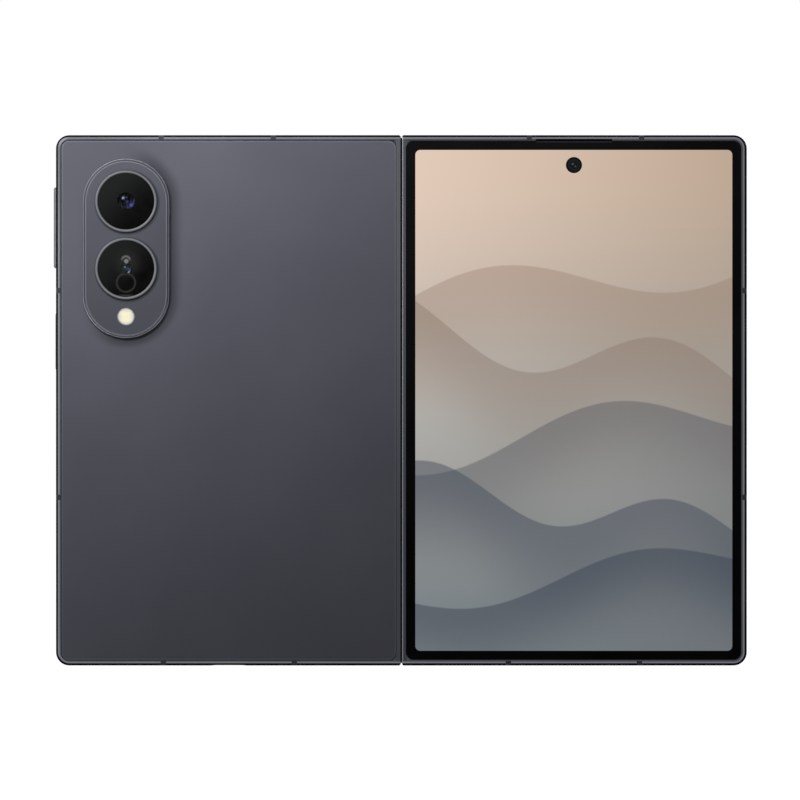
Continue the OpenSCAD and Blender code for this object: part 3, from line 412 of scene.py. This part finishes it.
def cover_glass():
    """Black glass over a lit screen, with the camera's window near its top."""
    paint = Paint("cover_glass", ior=1.5, specular_ior_level=0.015)
    away = paint.distance(*FRONT_CAMERA)
    front = paint.step(paint.y, -2.3, -2.34)
    lit = paint.times(paint.box_mask(*COVER_SCREEN), front, paint.step(away, *CAMERA_HOLE))
    (left, right), (bottom, top), _ = COVER_SCREEN
    picture = wallpaper(paint, left, right, bottom, top)
    paint.set(emission_color=picture, emission_strength=lit)

    cloud = paint.times(paint.step(paint.noise(0.05, 2.0), 0.35, 0.65), 0.3)
    # Painted sheen: the ink is lighter towards the top, with a random cloud in it.
    sheen_and_cloud = paint.add(paint.times(paint.step(paint.z, 10.0, 122.0), 0.7), cloud)
    ink = paint.mix(sheen_and_cloud, linear(1, 1, 2), linear(17, 16, 16))
    lens = paint.mix(paint.step(away, 1.3, 0.2), linear(26, 31, 32), linear(18, 22, 26))
    colour = paint.mix(paint.step(away, 1.6, 1.35), ink, lens)
    # Two painted glints on the camera's lens.
    glint_radius = 0.36
    for x, z, tone in ((-0.26, 0.24, (92, 100, 106)), (0.36, -0.3, (66, 78, 82))):
        off = paint.distance(FRONT_CAMERA[0] + x, FRONT_CAMERA[1] + z)
        colour = paint.lay(colour, tone, paint.step(off, glint_radius, glint_radius * 0.2), 0.8)

    smear = paint.step(paint.noise(0.035, 4.0, 0.6, stretch=(1.0, 1.0, 0.45)), 0.45, 0.7)
    paint.set(base_color=colour, roughness=paint.math("MULTIPLY_ADD", smear, 0.05, 0.06))
    paint.bump(paint.noise(0.02, 1.0), 0.004)
    return paint.material


def inner_screen(name, place="object"):
    """The folding screen, seen through its flexible glass: lit, with a black edge."""
    paint = Paint(name, place, ior=1.45, specular_ior_level=0.2)
    front = paint.step(paint.y, 2.08, 2.14)
    hole = paint.step(paint.distance(*INNER_CAMERA), *CAMERA_HOLE)
    lit = paint.times(paint.box_mask(*INNER_SCREEN), front, hole)
    picture = wallpaper(paint, *INNER_PICTURE)
    paint.set(emission_color=picture, emission_strength=paint.times(lit, 0.8))
    cloud = paint.step(paint.noise(0.05), 0.35, 0.65)
    ink = paint.mix(cloud, linear(9, 9, 10), linear(14, 14, 15))
    smear = paint.noise(0.05, 4.0, 0.6)
    paint.set(base_color=ink, roughness=paint.math("MULTIPLY_ADD", smear, 0.1, 0.07))
    paint.bump(paint.noise(0.02, 1.0), 0.006)
    return paint.material


def island_shade(paint):
    """The painted shadow on the back beside the island, on its right and below it."""
    outside = paint.inset(*ISLAND)
    right = paint.times(paint.step(paint.x, -66.0, -56.0), paint.step(paint.z, 78.0, 88.0))
    beside = paint.times(paint.step(outside, -3.4, -0.2), right)
    low = paint.times(paint.step(paint.x, -75.0, -66.0), paint.step(paint.z, 88.0, 78.0))
    band = paint.times(paint.step(outside, -2.8, -0.9), paint.step(outside, -0.1, -0.9))
    below = paint.times(band, low)
    return paint.add(paint.times(beside, 0.62), paint.times(below, 0.5))


def back_glass():
    """Etched satin glass: a fine even frost, a faint painted highlight along its edge, painted
    shade near the top left corner and a painted shadow beside the island.
    """
    paint = Paint("back_glass", ior=1.5, specular_ior_level=0.06)
    frost = paint.noise(18.0, 2.0, 0.7)
    cloud = paint.step(paint.noise(0.03, 3.0), 0.3, 0.7)
    colour = paint.mix(cloud, linear(73, 74, 82), linear(77, 78, 86))
    corner = paint.step(paint.distance(-76.0, 130.0), 36.0, 8.0)
    colour = paint.lay(colour, (67, 68, 74), corner, 0.9)
    inward = paint.inset(*BACK_GLASS)
    colour = paint.lay(colour, (112, 113, 120), paint.line(inward, 0.2, 0.3), 0.22)
    colour = paint.lay(colour, (30, 30, 34), paint.step(inward, 0.07, 0.0), 0.8)
    colour = paint.lay(colour, (30, 31, 36), island_shade(paint))
    paint.set(base_color=colour, roughness=paint.math("MULTIPLY_ADD", frost, 0.12, 0.36))
    paint.bump(frost, 0.0015)
    return paint.material


def island_skin():
    """The back's finish, with a painted highlight line round the edge and a second one inside it,
    and a rounded edge painted as shade and light.
    """
    paint = Paint("island", ior=1.5, specular_ior_level=0.06)
    frost = paint.noise(18.0, 2.0, 0.7)
    cloud = paint.step(paint.noise(0.05, 3.0), 0.3, 0.7)
    colour = paint.mix(cloud, linear(63, 64, 71), linear(67, 68, 75))

    # The shadows of the lens rings fall to the lower right.
    shift = 0.28
    rings = [paint.distance(LENS_X + shift, z - shift) for z in (UPPER_Z, LOWER_Z)]
    away = paint.math("MINIMUM", *rings)
    colour = paint.lay(colour, (34, 34, 38), paint.step(away, 7.85, 7.3), 0.6)

    # The rounded edge is painted darker as shade, and lighter towards the bottom as painted light;
    # the line along the edge, brighter towards the bottom, and the one inside it are painted
    # highlights.
    inward = paint.inset(*ISLAND)
    low = paint.step(paint.z, 87.0, 78.5)
    bevel = paint.mix(low, linear(48, 49, 56), linear(86, 87, 96))
    colour = paint.mix(paint.times(paint.step(inward, 0.75, 0.6), 0.7), colour, bevel)
    outer_highlight = paint.mix(low, linear(138, 139, 150), linear(232, 233, 242))
    colour = paint.mix(paint.times(paint.line(inward, 0.16, 0.14), 0.7), colour, outer_highlight)
    colour = paint.lay(colour, (138, 139, 150), paint.line(inward, 0.74, 0.13), 0.45)
    paint.set(base_color=colour, roughness=paint.math("MULTIPLY_ADD", frost, 0.12, 0.34))
    paint.bump(frost, 0.0015)
    return paint.material


def ring_metal():
    """A turned ring round each lens, with a painted highlight along its top ridge and painted shade
    on its bore and outer flank.
    """
    paint = Paint("lens_ring", metallic=1.0, specular_tint=METAL_EDGE)
    away = paint.math("MINIMUM", *(paint.distance(LENS_X, z) for z in (UPPER_Z, LOWER_Z)))
    turned = paint.math("SINE", paint.times(away, 2 * math.pi / TURNING_PITCH))
    ridge = paint.step(paint.absolute(paint.less(away, RING_RIDGE)), 0.3, 0.05)
    cloud = paint.step(paint.noise(0.6, 3.0), 0.3, 0.7)
    colour = paint.mix(cloud, linear(78, 79, 82), linear(84, 85, 88))
    colour = paint.lay(colour, (110, 111, 115), ridge)
    colour = paint.lay(colour, (44, 44, 47), paint.step(away, *RING_BORE), 0.7)
    colour = paint.lay(colour, (64, 65, 69), paint.step(away, *RING_FLANK))
    rough = paint.math("MULTIPLY_ADD", paint.noise(3.0), 0.12, 0.36)
    paint.set(base_color=colour, roughness=rough)
    paint.bump(paint.add(paint.times(turned, 0.0008), paint.times(ridge, 0.026)), 1.0)
    return paint.material


# Round marks on the lower cover glass, the last of them a painted glint near its bottom edge:
# height of the middle over the lens's middle, radius, width, the two heights between which the
# mark comes in, strength, colour.
LENS_MARKS = (
    (-3.3, 2.15, 0.45, (-9, -8), 0.5, (50, 50, 49)),
    (1.9, 0.94, 0.44, (1.6, 2.5), 0.9, (84, 84, 82)),
    (0.0, 6.2, 0.4, (-6.05, -6.2), 0.4, (74, 72, 72)),
)


def lens_cover():
    """Clear cover glasses, inked black inside but for a window over each lens."""
    paint = Paint("lens_cover", ior=1.08, specular_ior_level=0.5)
    upper = paint.distance(LENS_X, UPPER_Z)
    lower = paint.distance(LENS_X, LOWER_Z)
    upper_r, lower_r, soft = 2.0, 1.2, 0.04
    window = paint.either(paint.step(upper, upper_r + soft, upper_r),
                          paint.step(lower, lower_r + soft, lower_r))
    clear = paint.either(paint.step(upper, upper_r, upper_r - soft),
                         paint.step(lower, lower_r, lower_r - soft))
    smear = paint.noise(0.5, 3.0)
    ink = paint.mix(paint.step(smear, 0.3, 0.7), linear(4, 4, 4), linear(8, 8, 8))
    # Painted sheen: round each lens the ink is lighter towards the upper left.
    for height in (UPPER_Z, LOWER_Z):
        above = paint.less(paint.z, height)
        lean = paint.less(above, paint.less(paint.x, LENS_X))
        near = paint.step(paint.absolute(above), 7.0, 6.8)
        ink = paint.lay(ink, (22, 23, 23), paint.times(paint.step(lean, -7.0, 8.5), near))

    # The lower glass also shows a painted sheen above its middle, a grey dot with an arc above it,
    # a fine ring and a painted glint near its bottom.
    glow = paint.step(paint.distance(LENS_X + 0.4, LOWER_Z + 1.4), 4.2, 0.6)
    ink = paint.lay(ink, (34, 35, 33), glow, 0.6)
    for up, radius, width, (start, full), strength, tone in LENS_MARKS:
        mark = paint.line(paint.distance(LENS_X, LOWER_Z + up), radius, width)
        shown = paint.step(paint.z, LOWER_Z + start, LOWER_Z + full)
        ink = paint.lay(ink, tone, paint.times(mark, shown), strength)
    grey_dot = paint.step(paint.distance(LENS_X + 0.08, LOWER_Z + 1.72), 0.66, 0.34)
    ink = paint.lay(ink, (96, 96, 94), grey_dot)

    window = paint.times(window, paint.less(1.0, grey_dot))
    colour = paint.lay(ink, (246, 247, 252), paint.times(window, clear))
    paint.set(base_color=colour, transmission_weight=window)
    paint.set(roughness=paint.math("MULTIPLY_ADD", smear, 0.02, 0.02))
    return paint.material


def clear_glass(name, tint, rough=0.02, ior=1.15):
    """Coated glass, whose low index leaves as little reflection as its coating does."""
    paint = Paint(name, ior=ior, transmission_weight=1.0)
    smear = paint.noise(0.5, 3.0)
    colour = paint.mix(paint.step(smear, 0.3, 0.7), linear(*tint), linear(250, 251, 252))
    paint.set(base_color=colour, roughness=paint.math("MULTIPLY_ADD", smear, 0.02, rough))
    return paint.material


def coated(name, centre, deep, tint, glints=()):
    """The dark, coloured coating of a lens element, with its painted glints: x, z, radius, colour.
    """
    paint = Paint(name, ior=1.5, specular_ior_level=0.05, specular_tint=linear(*tint))
    smear = paint.noise(1.5, 2.0)
    colour = paint.mix(smear, linear(*deep), lighter(deep, 2))
    # Painted light: the coating is lighter towards its rim.
    rim = paint.step(paint.distance(*centre), 0.9, 1.9)
    colour = paint.mix(rim, colour, lighter(deep, 14))
    for x, z, radius, tone in glints:
        colour = paint.lay(colour, tone, paint.step(paint.distance(x, z), radius, radius * 0.1))
    paint.set(base_color=colour, roughness=paint.math("MULTIPLY_ADD", smear, 0.03, 0.05))
    return paint.material


def flash_face():
    """The flash's lens: a cream square of phosphor behind clear rings."""
    paint = Paint("flash_lens_face", ior=1.45, specular_ior_level=0.3)
    x, z = FLASH
    away = paint.distance(x, z)
    square = paint.box_mask((x - 1.15, x + 1.15), (z - 1.2, z + 1.2), 0.5, soft=0.45)
    rings = paint.math("SINE", paint.times(away, 2 * math.pi / FLASH_PITCH))
    colour = paint.mix(square, linear(190, 189, 180), linear(216, 210, 178))
    colour = paint.lay(colour, (132, 132, 134), paint.step(away, 1.6, 1.92))
    colour = paint.lay(colour, (150, 150, 150), paint.math("MULTIPLY_ADD", rings, 0.03, 0.03))
    rough = paint.math("MULTIPLY_ADD", paint.noise(6.0), 0.1, 0.22)
    paint.set(base_color=colour, roughness=rough)
    paint.bump(rings, 0.01)
    return paint.material


FINISHES = {
    "frame": frame_metal("frame", (82, 83, 88), (64, 65, 70), (12, 12, 14)),
    "antenna_plastic": plain("antenna_plastic", (42, 43, 47), (48, 49, 54), 0.5, grain=6.0,
                             specular_ior_level=0.15),
    "back_glass": back_glass(),
    "island": island_skin(),
    "lens_ring": ring_metal(),
    "lens_glass": lens_cover(),
    "flash_glass": clear_glass("flash_glass", (246, 244, 236)),
    "cover_glass": cover_glass(),
    "display": plain("display", (16, 16, 18), (22, 22, 25), 0.3, grain=1.0),
    "inner_display": inner_screen("inner_display"),
    "soft_rim": plain("soft_rim", (20, 20, 22), (26, 26, 28), 0.62, grain=10.0, bump=0.01),
    "spine_metal": plain("spine_metal", (22, 22, 25), (29, 29, 32), 0.34, metal=1.0, grain=12.0,
                         bump=0.006, stretch=(1.0, 1.0, 0.15), wear=(0.5, (130, 130, 134))),
    "steel": plain("steel", (150, 150, 150), (172, 171, 170), 0.26, metal=1.0, grain=4.0,
                   stretch=(0.2, 4.0, 4.0), wear=(0.5, (205, 205, 205))),
    "gear_metal": plain("gear_metal", (132, 130, 124), (158, 154, 146), 0.3, metal=1.0, grain=5.0,
                        wear=(0.6, (205, 202, 196))),
    "black_plastic": plain("black_plastic", (18, 18, 19), (28, 28, 30), 0.5, grain=7.0,
                           bump=0.012),
    "board": plain("board", (14, 52, 34), (20, 66, 44), 0.42, grain=2.5, bump=0.02),
    "shield": plain("shield", (176, 176, 174), (192, 192, 190), 0.32, metal=1.0, grain=3.0,
                    wear=(0.5, (222, 222, 220))),
    "battery": plain("battery", (58, 58, 60), (74, 74, 77), 0.55, metal=0.4, grain=1.2,
                     bump=0.03),
    "copper": plain("copper", (176, 104, 68), (204, 130, 88), 0.3, metal=1.0, grain=3.0),
    "flex": plain("flex", (120, 66, 22), (150, 86, 30), 0.38, grain=2.0),
}
KEY_METAL = plain("key_metal", (118, 119, 124), (128, 129, 134), 0.34, metal=1.0, grain=12.0,
                  bump=0.004, wear=(0.2, (150, 150, 154)), specular_tint=METAL_EDGE)
DARK_MESH = plain("dark_mesh", (6, 6, 7), (12, 12, 13), 0.5, metal=0.6, grain=9.0, bump=0.03)
LENS_BLACK = plain("lens_black", (13, 13, 13), (17, 17, 17), 0.45, grain=2.0, bump=0.001, ior=1.4,
                   specular_ior_level=0.15)
FRONT_ELEMENT = clear_glass("lens_element", (246, 247, 255), 0.01, 1.08)
GOLD = plain("gold", (196, 156, 84), (216, 178, 102), 0.28, metal=1.0, grain=5.0)
SCREEN_FOLD = inner_screen("inner_screen_fold", "rest_place")
FLEX = plain("flex_bent", (120, 66, 22), (150, 86, 30), 0.38, grain=2.0)


def dress(name, material):
    """Gives every material slot of a CAD node this material."""
    slots = NODES[name].data.materials
    if not len(slots):
        slots.append(material)
    for i in range(len(slots)):
        slots[i] = material


for node, slot_name in SLOT_OF.items():
    dress(node, FINISHES[slot_name])
for node in ("volume_key", "side_key"):
    dress(node, KEY_METAL)
dress("earpiece_mesh", DARK_MESH)


# Pieces
def piece(name, verts, faces, material, body=None, slot_name=None, stands_for=(), smooth=True,
          sharp=40):
    """A new mesh piece, in mm, that rides on a body; sharp is the least angle of a sharp edge."""
    mesh = bpy.data.meshes.new(name)
    mesh.from_pydata([Vector(v) * MM for v in verts], [], faces)
    shell = bmesh.new()
    shell.from_mesh(mesh)
    bmesh.ops.remove_doubles(shell, verts=shell.verts, dist=1e-7)
    bmesh.ops.recalc_face_normals(shell, faces=shell.faces)
    limit = math.radians(sharp)
    for edge in shell.edges:
        paired = len(edge.link_faces) == 2
        edge.smooth = smooth and paired and edge.calc_face_angle(0.0) < limit
    for face in shell.faces:
        face.smooth = smooth
    shell.to_mesh(mesh)
    shell.free()
    mesh.materials.append(material)
    thing = bpy.data.objects.new(name, mesh)
    bpy.context.scene.collection.objects.link(thing)
    if body:
        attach(thing, body)
    if stands_for:
        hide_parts(*stands_for)
    return thing


def lathe(x, z, profile, sides=96):
    """A solid turned about the line through (x, z) along Y; profile is its (radius, y) points."""
    verts, faces, rings = [], [], []
    for radius, y in profile:
        if radius < 1e-6:
            rings.append([len(verts)] * sides)
            verts.append((x, y, z))
            continue
        first = len(verts)
        for i in range(sides):
            a = 2 * math.pi * i / sides
            verts.append((x + radius * math.cos(a), y, z + radius * math.sin(a)))
        rings.append([first + i for i in range(sides)])
    for one, two in zip(rings, rings[1:]):
        for i in range(sides):
            j = (i + 1) % sides
            corners = []
            for v in (one[i], one[j], two[j], two[i]):
                if v not in corners:
                    corners.append(v)
            if len(corners) > 2:
                faces.append(corners)
    return verts, faces


def join(*parts):
    """Several (verts, faces) as one."""
    verts, faces = [], []
    for more_verts, more_faces in parts:
        shift = len(verts)
        verts += more_verts
        faces += [[v + shift for v in face] for face in more_faces]
    return verts, faces


def eased_ring(u_range, v_range, ease):
    """The outline of a rectangle whose four corners are cut off."""
    (u0, u1), (v0, v1) = u_range, v_range
    return [(u0 + ease, v0), (u1 - ease, v0), (u1, v0 + ease), (u1, v1 - ease),
            (u1 - ease, v1), (u0 + ease, v1), (u0, v1 - ease), (u0, v0 + ease)]


def prism_faces(n):
    """The faces of a prism whose vertices are one ring of n and then the other."""
    sides = [[i, (i + 1) % n, n + (i + 1) % n, n + i] for i in range(n)]
    return [list(range(n)), list(range(n, 2 * n))] + sides


def block(x_range, y_range, z_range, ease=0.3):
    """A box whose edges along Y are eased."""
    ring = eased_ring(x_range, z_range, ease)
    return [(x, y, z) for y in y_range for x, z in ring], prism_faces(len(ring))


def bar(x_range, y_range, z_range):
    """A small bar whose edges along Z are eased."""
    ease = min(x_range[1] - x_range[0], y_range[1] - y_range[0]) * 0.25
    ring = eased_ring(x_range, y_range, ease)
    return [(x, y, z) for z in z_range for x, y in ring], prism_faces(len(ring))


def cap(radius, curve, y, out, steps=10):
    """Profile points of a dome from its axis to its rim at depth y; out is -1 to the viewer."""
    rise = curve - math.sqrt(curve**2 - radius**2)
    points = []
    for i in range(steps + 1):
        r = radius * i / steps
        sag = curve - math.sqrt(curve**2 - r**2)
        points.append((r, y + out * (rise - sag)))
    return points


# The cameras of the island: a block, a black barrel with stepped baffles, a clear front element
# and, deeper, a coated bowl. Depths of the barrel's face, of the block's back and of its front.
FACE_Y, BACK_Y = reach("y", "camera_module_upper")
BLOCK_Y = -1.2
# The baffles' number, the way from one to the next, and each one's depth and lean.
BAFFLES, BAFFLE_STEP, BAFFLE_DEPTH, BAFFLE_LEAN = 5, 0.16, 0.12, 0.08
# Widths of the barrel's chamfer, of its flat rim and of the whole rim outside the baffles.
CHAMFER, FLAT_RIM, WHOLE_RIM = 0.1, 0.7, 0.9
# Depths of the front element's rim and back, of the bowl's rim and back, and of the seat.
FRONT_RIM_Y, FRONT_BACK_Y, BOWL_Y, BOWL_BACK_Y, SEAT_Y = -2.25, -2.15, -2.08, -1.35, -1.3
# Clearances of the front element and the bowl in the barrel.
FRONT_GAP, BOWL_GAP = 0.02, 0.05
# Painted glints of each coating: across and up from the lens's centre, radius, colour.
UPPER_GLINTS = (
    (-0.72, 0.86, 0.8, (30, 32, 74)), (-0.72, 0.86, 0.42, (206, 214, 255)),
    (1.12, -0.76, 0.85, (44, 40, 90)), (1.0, -0.72, 0.3, (72, 68, 140)),
    (0.1, 0.05, 0.7, (46, 46, 74)),
)
LOWER_GLINTS = (
    (0.1, 0.0, 0.6, (100, 106, 112)), (-0.36, 0.4, 0.55, (96, 100, 136)),
    (-0.36, 0.4, 0.3, (228, 234, 255)), (0.76, -0.44, 0.62, (122, 118, 190)),
)


def camera(name, node, z, barrel, window, curve, bowl, deep, spots):
    """A camera in mm: radii of barrel and window, curvatures of the front element and the bowl."""
    glints = [(LENS_X + across, z + up, radius, tone) for across, up, radius, tone in spots]
    coating = coated(name + "_coating", (LENS_X, z), deep, (92, 88, 128), glints)
    baffles = []
    for i in range(BAFFLES):
        r = window + (barrel - WHOLE_RIM - window) * (1 - i / BAFFLES)
        y = FACE_Y + BAFFLE_DEPTH + BAFFLE_STEP * i
        baffles += [(r, y), (r - BAFFLE_LEAN, y + BAFFLE_DEPTH)]
    rim = [(barrel, FACE_Y + CHAMFER), (barrel - CHAMFER, FACE_Y), (barrel - FLAT_RIM, FACE_Y)]
    profile = [(0, BLOCK_Y), (barrel, BLOCK_Y)] + rim + baffles
    profile += [(window, OUTER), (window, SEAT_Y), (0, SEAT_Y)]
    base = block(reach("x", node), (BLOCK_Y + 0.01, BACK_Y), reach("z", node))
    solid = join(base, lathe(LENS_X, z, profile))
    piece(name + "_barrel", *solid, LENS_BLACK, "rear_half", "black_plastic", [node], sharp=25)

    radius = window - FRONT_GAP
    front = cap(radius, curve, FRONT_RIM_Y, -1) + [(radius, FRONT_BACK_Y), (0, FRONT_BACK_Y)]
    solid = lathe(LENS_X, z, front)
    piece(name + "_front_element", *solid, FRONT_ELEMENT, "rear_half", "lens_glass")

    radius = window - BOWL_GAP
    hollow = cap(radius, bowl, BOWL_Y, 1) + [(radius, BOWL_BACK_Y), (0, BOWL_BACK_Y)]
    solid = lathe(LENS_X, z, hollow)
    piece(name + "_coated_element", *solid, coating, "rear_half", "lens_glass")


camera("upper_camera", "camera_module_upper", UPPER_Z, barrel=4.5, window=2.5, curve=3.2,
       bowl=5.6, deep=(13, 15, 16), spots=UPPER_GLINTS)
# The lower coating's deep tone is painted much lighter than the upper one's, as painted light in
# its shaded bowl.
camera("lower_camera", "camera_module_lower", LOWER_Z, barrel=4.0, window=2.0, curve=2.6,
       bowl=4.4, deep=(80, 88, 84), spots=LOWER_GLINTS)

# The flash: a clear disc with fine rings pressed into its face.
FLASH_FRONT_Y, FLASH_BACK_Y = reach("y", "flash_lens")
FLASH_R = 2.05
RIDGES, RIDGE_START, RIDGE_DEPTH = 8, 1.85, 0.03
ridges = []
for i in range(RIDGES):
    r = RIDGE_START - i * FLASH_PITCH
    ridges += [(r, FLASH_FRONT_Y + RIDGE_DEPTH), (r - FLASH_PITCH / 2, FLASH_FRONT_Y)]
profile = [(0, FLASH_BACK_Y), (FLASH_R, FLASH_BACK_Y), (FLASH_R, FLASH_FRONT_Y + 0.09),
           (FLASH_R - 0.09, FLASH_FRONT_Y)] + ridges + [(0, FLASH_FRONT_Y)]
piece("flash_cover", *lathe(*FLASH, profile), flash_face(), "rear_half", "flash_glass",
      ["flash_lens"], sharp=25)

# The camera of the inner screen: a black rim in the screen's hole and a low dome inside it.
RIM_BACK_Y = reach("y", "inner_camera")[1] + 0.01
RIM_FACE_Y, RIM_R, DOME_R, DOME_CURVE = 2.02, 1.62, 1.24, 4.5
profile = [(0, RIM_BACK_Y), (RIM_R, RIM_BACK_Y), (RIM_R, 2.04), (1.3, 2.1), (1.28, RIM_FACE_Y),
           (0, RIM_FACE_Y)]
piece("inner_camera_rim", *lathe(*INNER_CAMERA, profile, 64), LENS_BLACK, "rear_half",
      "black_plastic")
profile = [(0, RIM_FACE_Y)] + cap(DOME_R, DOME_CURVE, RIM_FACE_Y + 0.01, 1)[::-1]
BLUE_COATING = coated("blue_coating", INNER_CAMERA, (6, 6, 12), (90, 110, 255))
piece("inner_camera_dome", *lathe(*INNER_CAMERA, profile, 64), BLUE_COATING, "rear_half",
      "lens_glass")

# The contacts on both sides of the charging port's tongue.
CONTACTS, CONTACT_PITCH, CONTACT_HALF, CONTACT_ZS = 12, 0.5, 0.12, (1.35, 4.6)
contacts = []
for i in range(CONTACTS):
    x = -MID_X + (i - (CONTACTS - 1) / 2) * CONTACT_PITCH
    for y_range in ((-0.4, -0.33), (0.33, 0.4)):
        contacts.append(bar((x - CONTACT_HALF, x + CONTACT_HALF), y_range, CONTACT_ZS))
piece("port_contacts", *join(*contacts), GOLD, "rear_half", "copper", smooth=False)


# The soft pieces that cross the fold: each is made in two sheets, one for each half.
def sheet(name, side, xs, ys, zs, material, slot_name, node, dip=None):
    """A closed sheet from the fold line to xs[-1]; dip is how far its front sinks at an x."""
    verts, faces = [], []
    for y in ys:
        for x in xs:
            sink = dip(x) if dip and y == ys[1] else 0.0
            verts += [(side * x, y - sink, z) for z in zs]
    columns, rows = len(xs), len(zs)

    def at(layer, i, j):
        return (layer * columns + i) * rows + j

    for i in range(columns - 1):
        for j in range(rows - 1):
            faces.append([at(0, i, j), at(0, i + 1, j), at(0, i + 1, j + 1), at(0, i, j + 1)])
            faces.append([at(1, i, j), at(1, i, j + 1), at(1, i + 1, j + 1), at(1, i + 1, j)])
    for i in range(columns - 1):
        for j in (0, rows - 1):
            faces.append([at(0, i, j), at(1, i, j), at(1, i + 1, j), at(0, i + 1, j)])
    for j in range(rows - 1):
        for i in (0, columns - 1):
            faces.append([at(0, i, j), at(0, i, j + 1), at(1, i, j + 1), at(1, i, j)])
    thing = piece(name, verts, faces, material, slot_name=slot_name, stands_for=[node])
    rest = thing.data.attributes.new("rest_place", "FLOAT_VECTOR", "POINT")
    for i, vert in enumerate(thing.data.vertices):
        rest.data[i].vector = vert.co
    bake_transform(thing)
    return thing


def crease(x, depth=0.05, spread=2.6):
    """The shallow valley of the fold, in mm."""
    return depth * math.exp(-((x / spread) ** 2))


# The sheets' columns stand close where they bend, and their rows where the corners are.
SCREEN_XS = [i * 0.2 for i in range(28)] + [5.8, 6.6, 7.4, 8.0, 8.2, 8.3, 8.395]
SCREEN_YS = reach("y", "inner_display_fold")
SCREEN_ROWS = 24
low, high = within(INNER_Z, 0.2)
rows = [low + (high - low) * i / SCREEN_ROWS for i in range(SCREEN_ROWS + 1)]
SCREEN_ZS = [INNER_Z[0], INNER_Z[0] + 0.05] + rows + [INNER_Z[1] - 0.05, INNER_Z[1]]
CABLE_XS = [i * 0.25 for i in range(32)] + [8.5, 9.5, 10.5, reach("x", "fold_flex_cable")[1]]
CABLE_YS = reach("y", "fold_flex_cable")
low, high = reach("z", "fold_flex_cable")
CABLE_ZS = [low, 55, 60, 64, 68, high]
for side, half in ((-1, "rear"), (1, "cover")):
    sheet("inner_screen_fold_" + half, side, SCREEN_XS, SCREEN_YS, SCREEN_ZS, SCREEN_FOLD,
          "inner_display", "inner_display_fold", crease)
    sheet("fold_cable_" + half, side, CABLE_XS, CABLE_YS, CABLE_ZS, FLEX, "flex",
          "fold_flex_cable")


# Stage
def plainly_seen(tree):
    """1 for camera, glossy and transmission rays, 0 for the rays that light the object."""
    path = tree.nodes.new("ShaderNodeLightPath")
    seen = path.outputs["Is Camera Ray"]
    for kind in ("Is Glossy Ray", "Is Transmission Ray"):
        higher = tree.nodes.new("ShaderNodeMath")
        higher.operation = "MAXIMUM"
        tree.links.new(seen, higher.inputs[0])
        tree.links.new(path.outputs[kind], higher.inputs[1])
        seen = higher.outputs[0]
    return seen


def floor(size, under, level, grey):
    """A wide floor that looks nearly white and keeps a faint shadow of the phone."""
    mesh = bpy.data.meshes.new("floor")
    corners = [(-size, -size, under), (size, -size, under), (size, size, under),
               (-size, size, under)]
    mesh.from_pydata(corners, [], [(0, 1, 2, 3)])
    ground = bpy.data.objects.new("floor", mesh)
    bpy.context.scene.collection.objects.link(ground)
    material = bpy.data.materials.new("floor")
    material.use_nodes = True
    tree = material.node_tree
    tree.nodes.clear()
    new = tree.nodes.new
    out, add = new("ShaderNodeOutputMaterial"), new("ShaderNodeAddShader")
    glow, matte = new("ShaderNodeEmission"), new("ShaderNodeBsdfDiffuse")
    lit = new("ShaderNodeMath")
    lit.operation = "MULTIPLY"
    lit.inputs[1].default_value = level
    tree.links.new(plainly_seen(tree), lit.inputs[0])
    tree.links.new(lit.outputs[0], glow.inputs["Strength"])
    matte.inputs["Color"].default_value = (grey, grey, grey, 1)
    tree.links.new(glow.outputs[0], add.inputs[0])
    tree.links.new(matte.outputs[0], add.inputs[1])
    tree.links.new(add.outputs[0], out.inputs["Surface"])
    mesh.materials.append(material)


def surroundings(level):
    """White where the camera or a reflection looks, and that plain level for everything else."""
    world = bpy.data.worlds.new("studio")
    bpy.context.scene.world = world
    world.use_nodes = True
    tree = world.node_tree
    back = next(n for n in tree.nodes if n.type == "BACKGROUND")
    back.inputs["Color"].default_value = (1, 1, 1, 1)
    strength = tree.nodes.new("ShaderNodeMapRange")
    strength.inputs["To Min"].default_value = level
    strength.inputs["To Max"].default_value = 1.0
    tree.links.new(plainly_seen(tree), strength.inputs["Value"])
    tree.links.new(strength.outputs[0], back.inputs["Strength"])


def lamp(name, place, target, size, power, diffuse=True, glossy=True):
    """A square soft lamp, in metres and watts, that may leave out one kind of light."""
    light = bpy.data.lights.new(name, "AREA")
    light.shape = "RECTANGLE"
    light.size = light.size_y = size
    light.energy = power
    thing = bpy.data.objects.new(name, light)
    thing.location = place
    aim = Vector(target) - Vector(place)
    thing.rotation_euler = aim.to_track_quat("-Z", "Y").to_euler()
    thing.visible_camera = False
    thing.visible_diffuse = diffuse
    thing.visible_glossy = glossy
    bpy.context.scene.collection.objects.link(thing)


floor(size=6.0, under=-0.02 * MM, level=0.97, grey=0.12)
surroundings(0.52)
lamp("key", place=(-0.12, -0.18, 0.206), target=(-0.164, 0, 0.3), size=0.14, power=1.56,
     glossy=False)
lamp("shine", place=(-0.26, -0.3, 0.3), target=(-0.03, 0, 0.06), size=0.2, power=1.7,
     diffuse=False)
lamp("fill_behind", place=(0.3, 0.8, 0.6), target=(0, 0, 0.06), size=0.6, power=5.0)

# The camera stands square on, so far that the object's outer plane fills the photograph's width.
SENSOR_WIDTH = 36.0
PLANE_WIDTH = 186.84
DISTANCE = 1200.0
MIDDLE_X, MIDDLE_Z = -0.325, 62.03
eye = bpy.data.cameras.new("camera")
eye.sensor_width = SENSOR_WIDTH
eye.lens = SENSOR_WIDTH * DISTANCE / PLANE_WIDTH
eye.clip_start = 0.01
viewer = bpy.data.objects.new("camera", eye)
viewer.location = (MIDDLE_X * MM, (OUTER - DISTANCE) * MM, MIDDLE_Z * MM)
viewer.rotation_euler = (math.radians(90), 0, 0)
bpy.context.scene.collection.objects.link(viewer)
bpy.context.scene.camera = viewer
bpy.context.scene.view_settings.view_transform = "Standard"
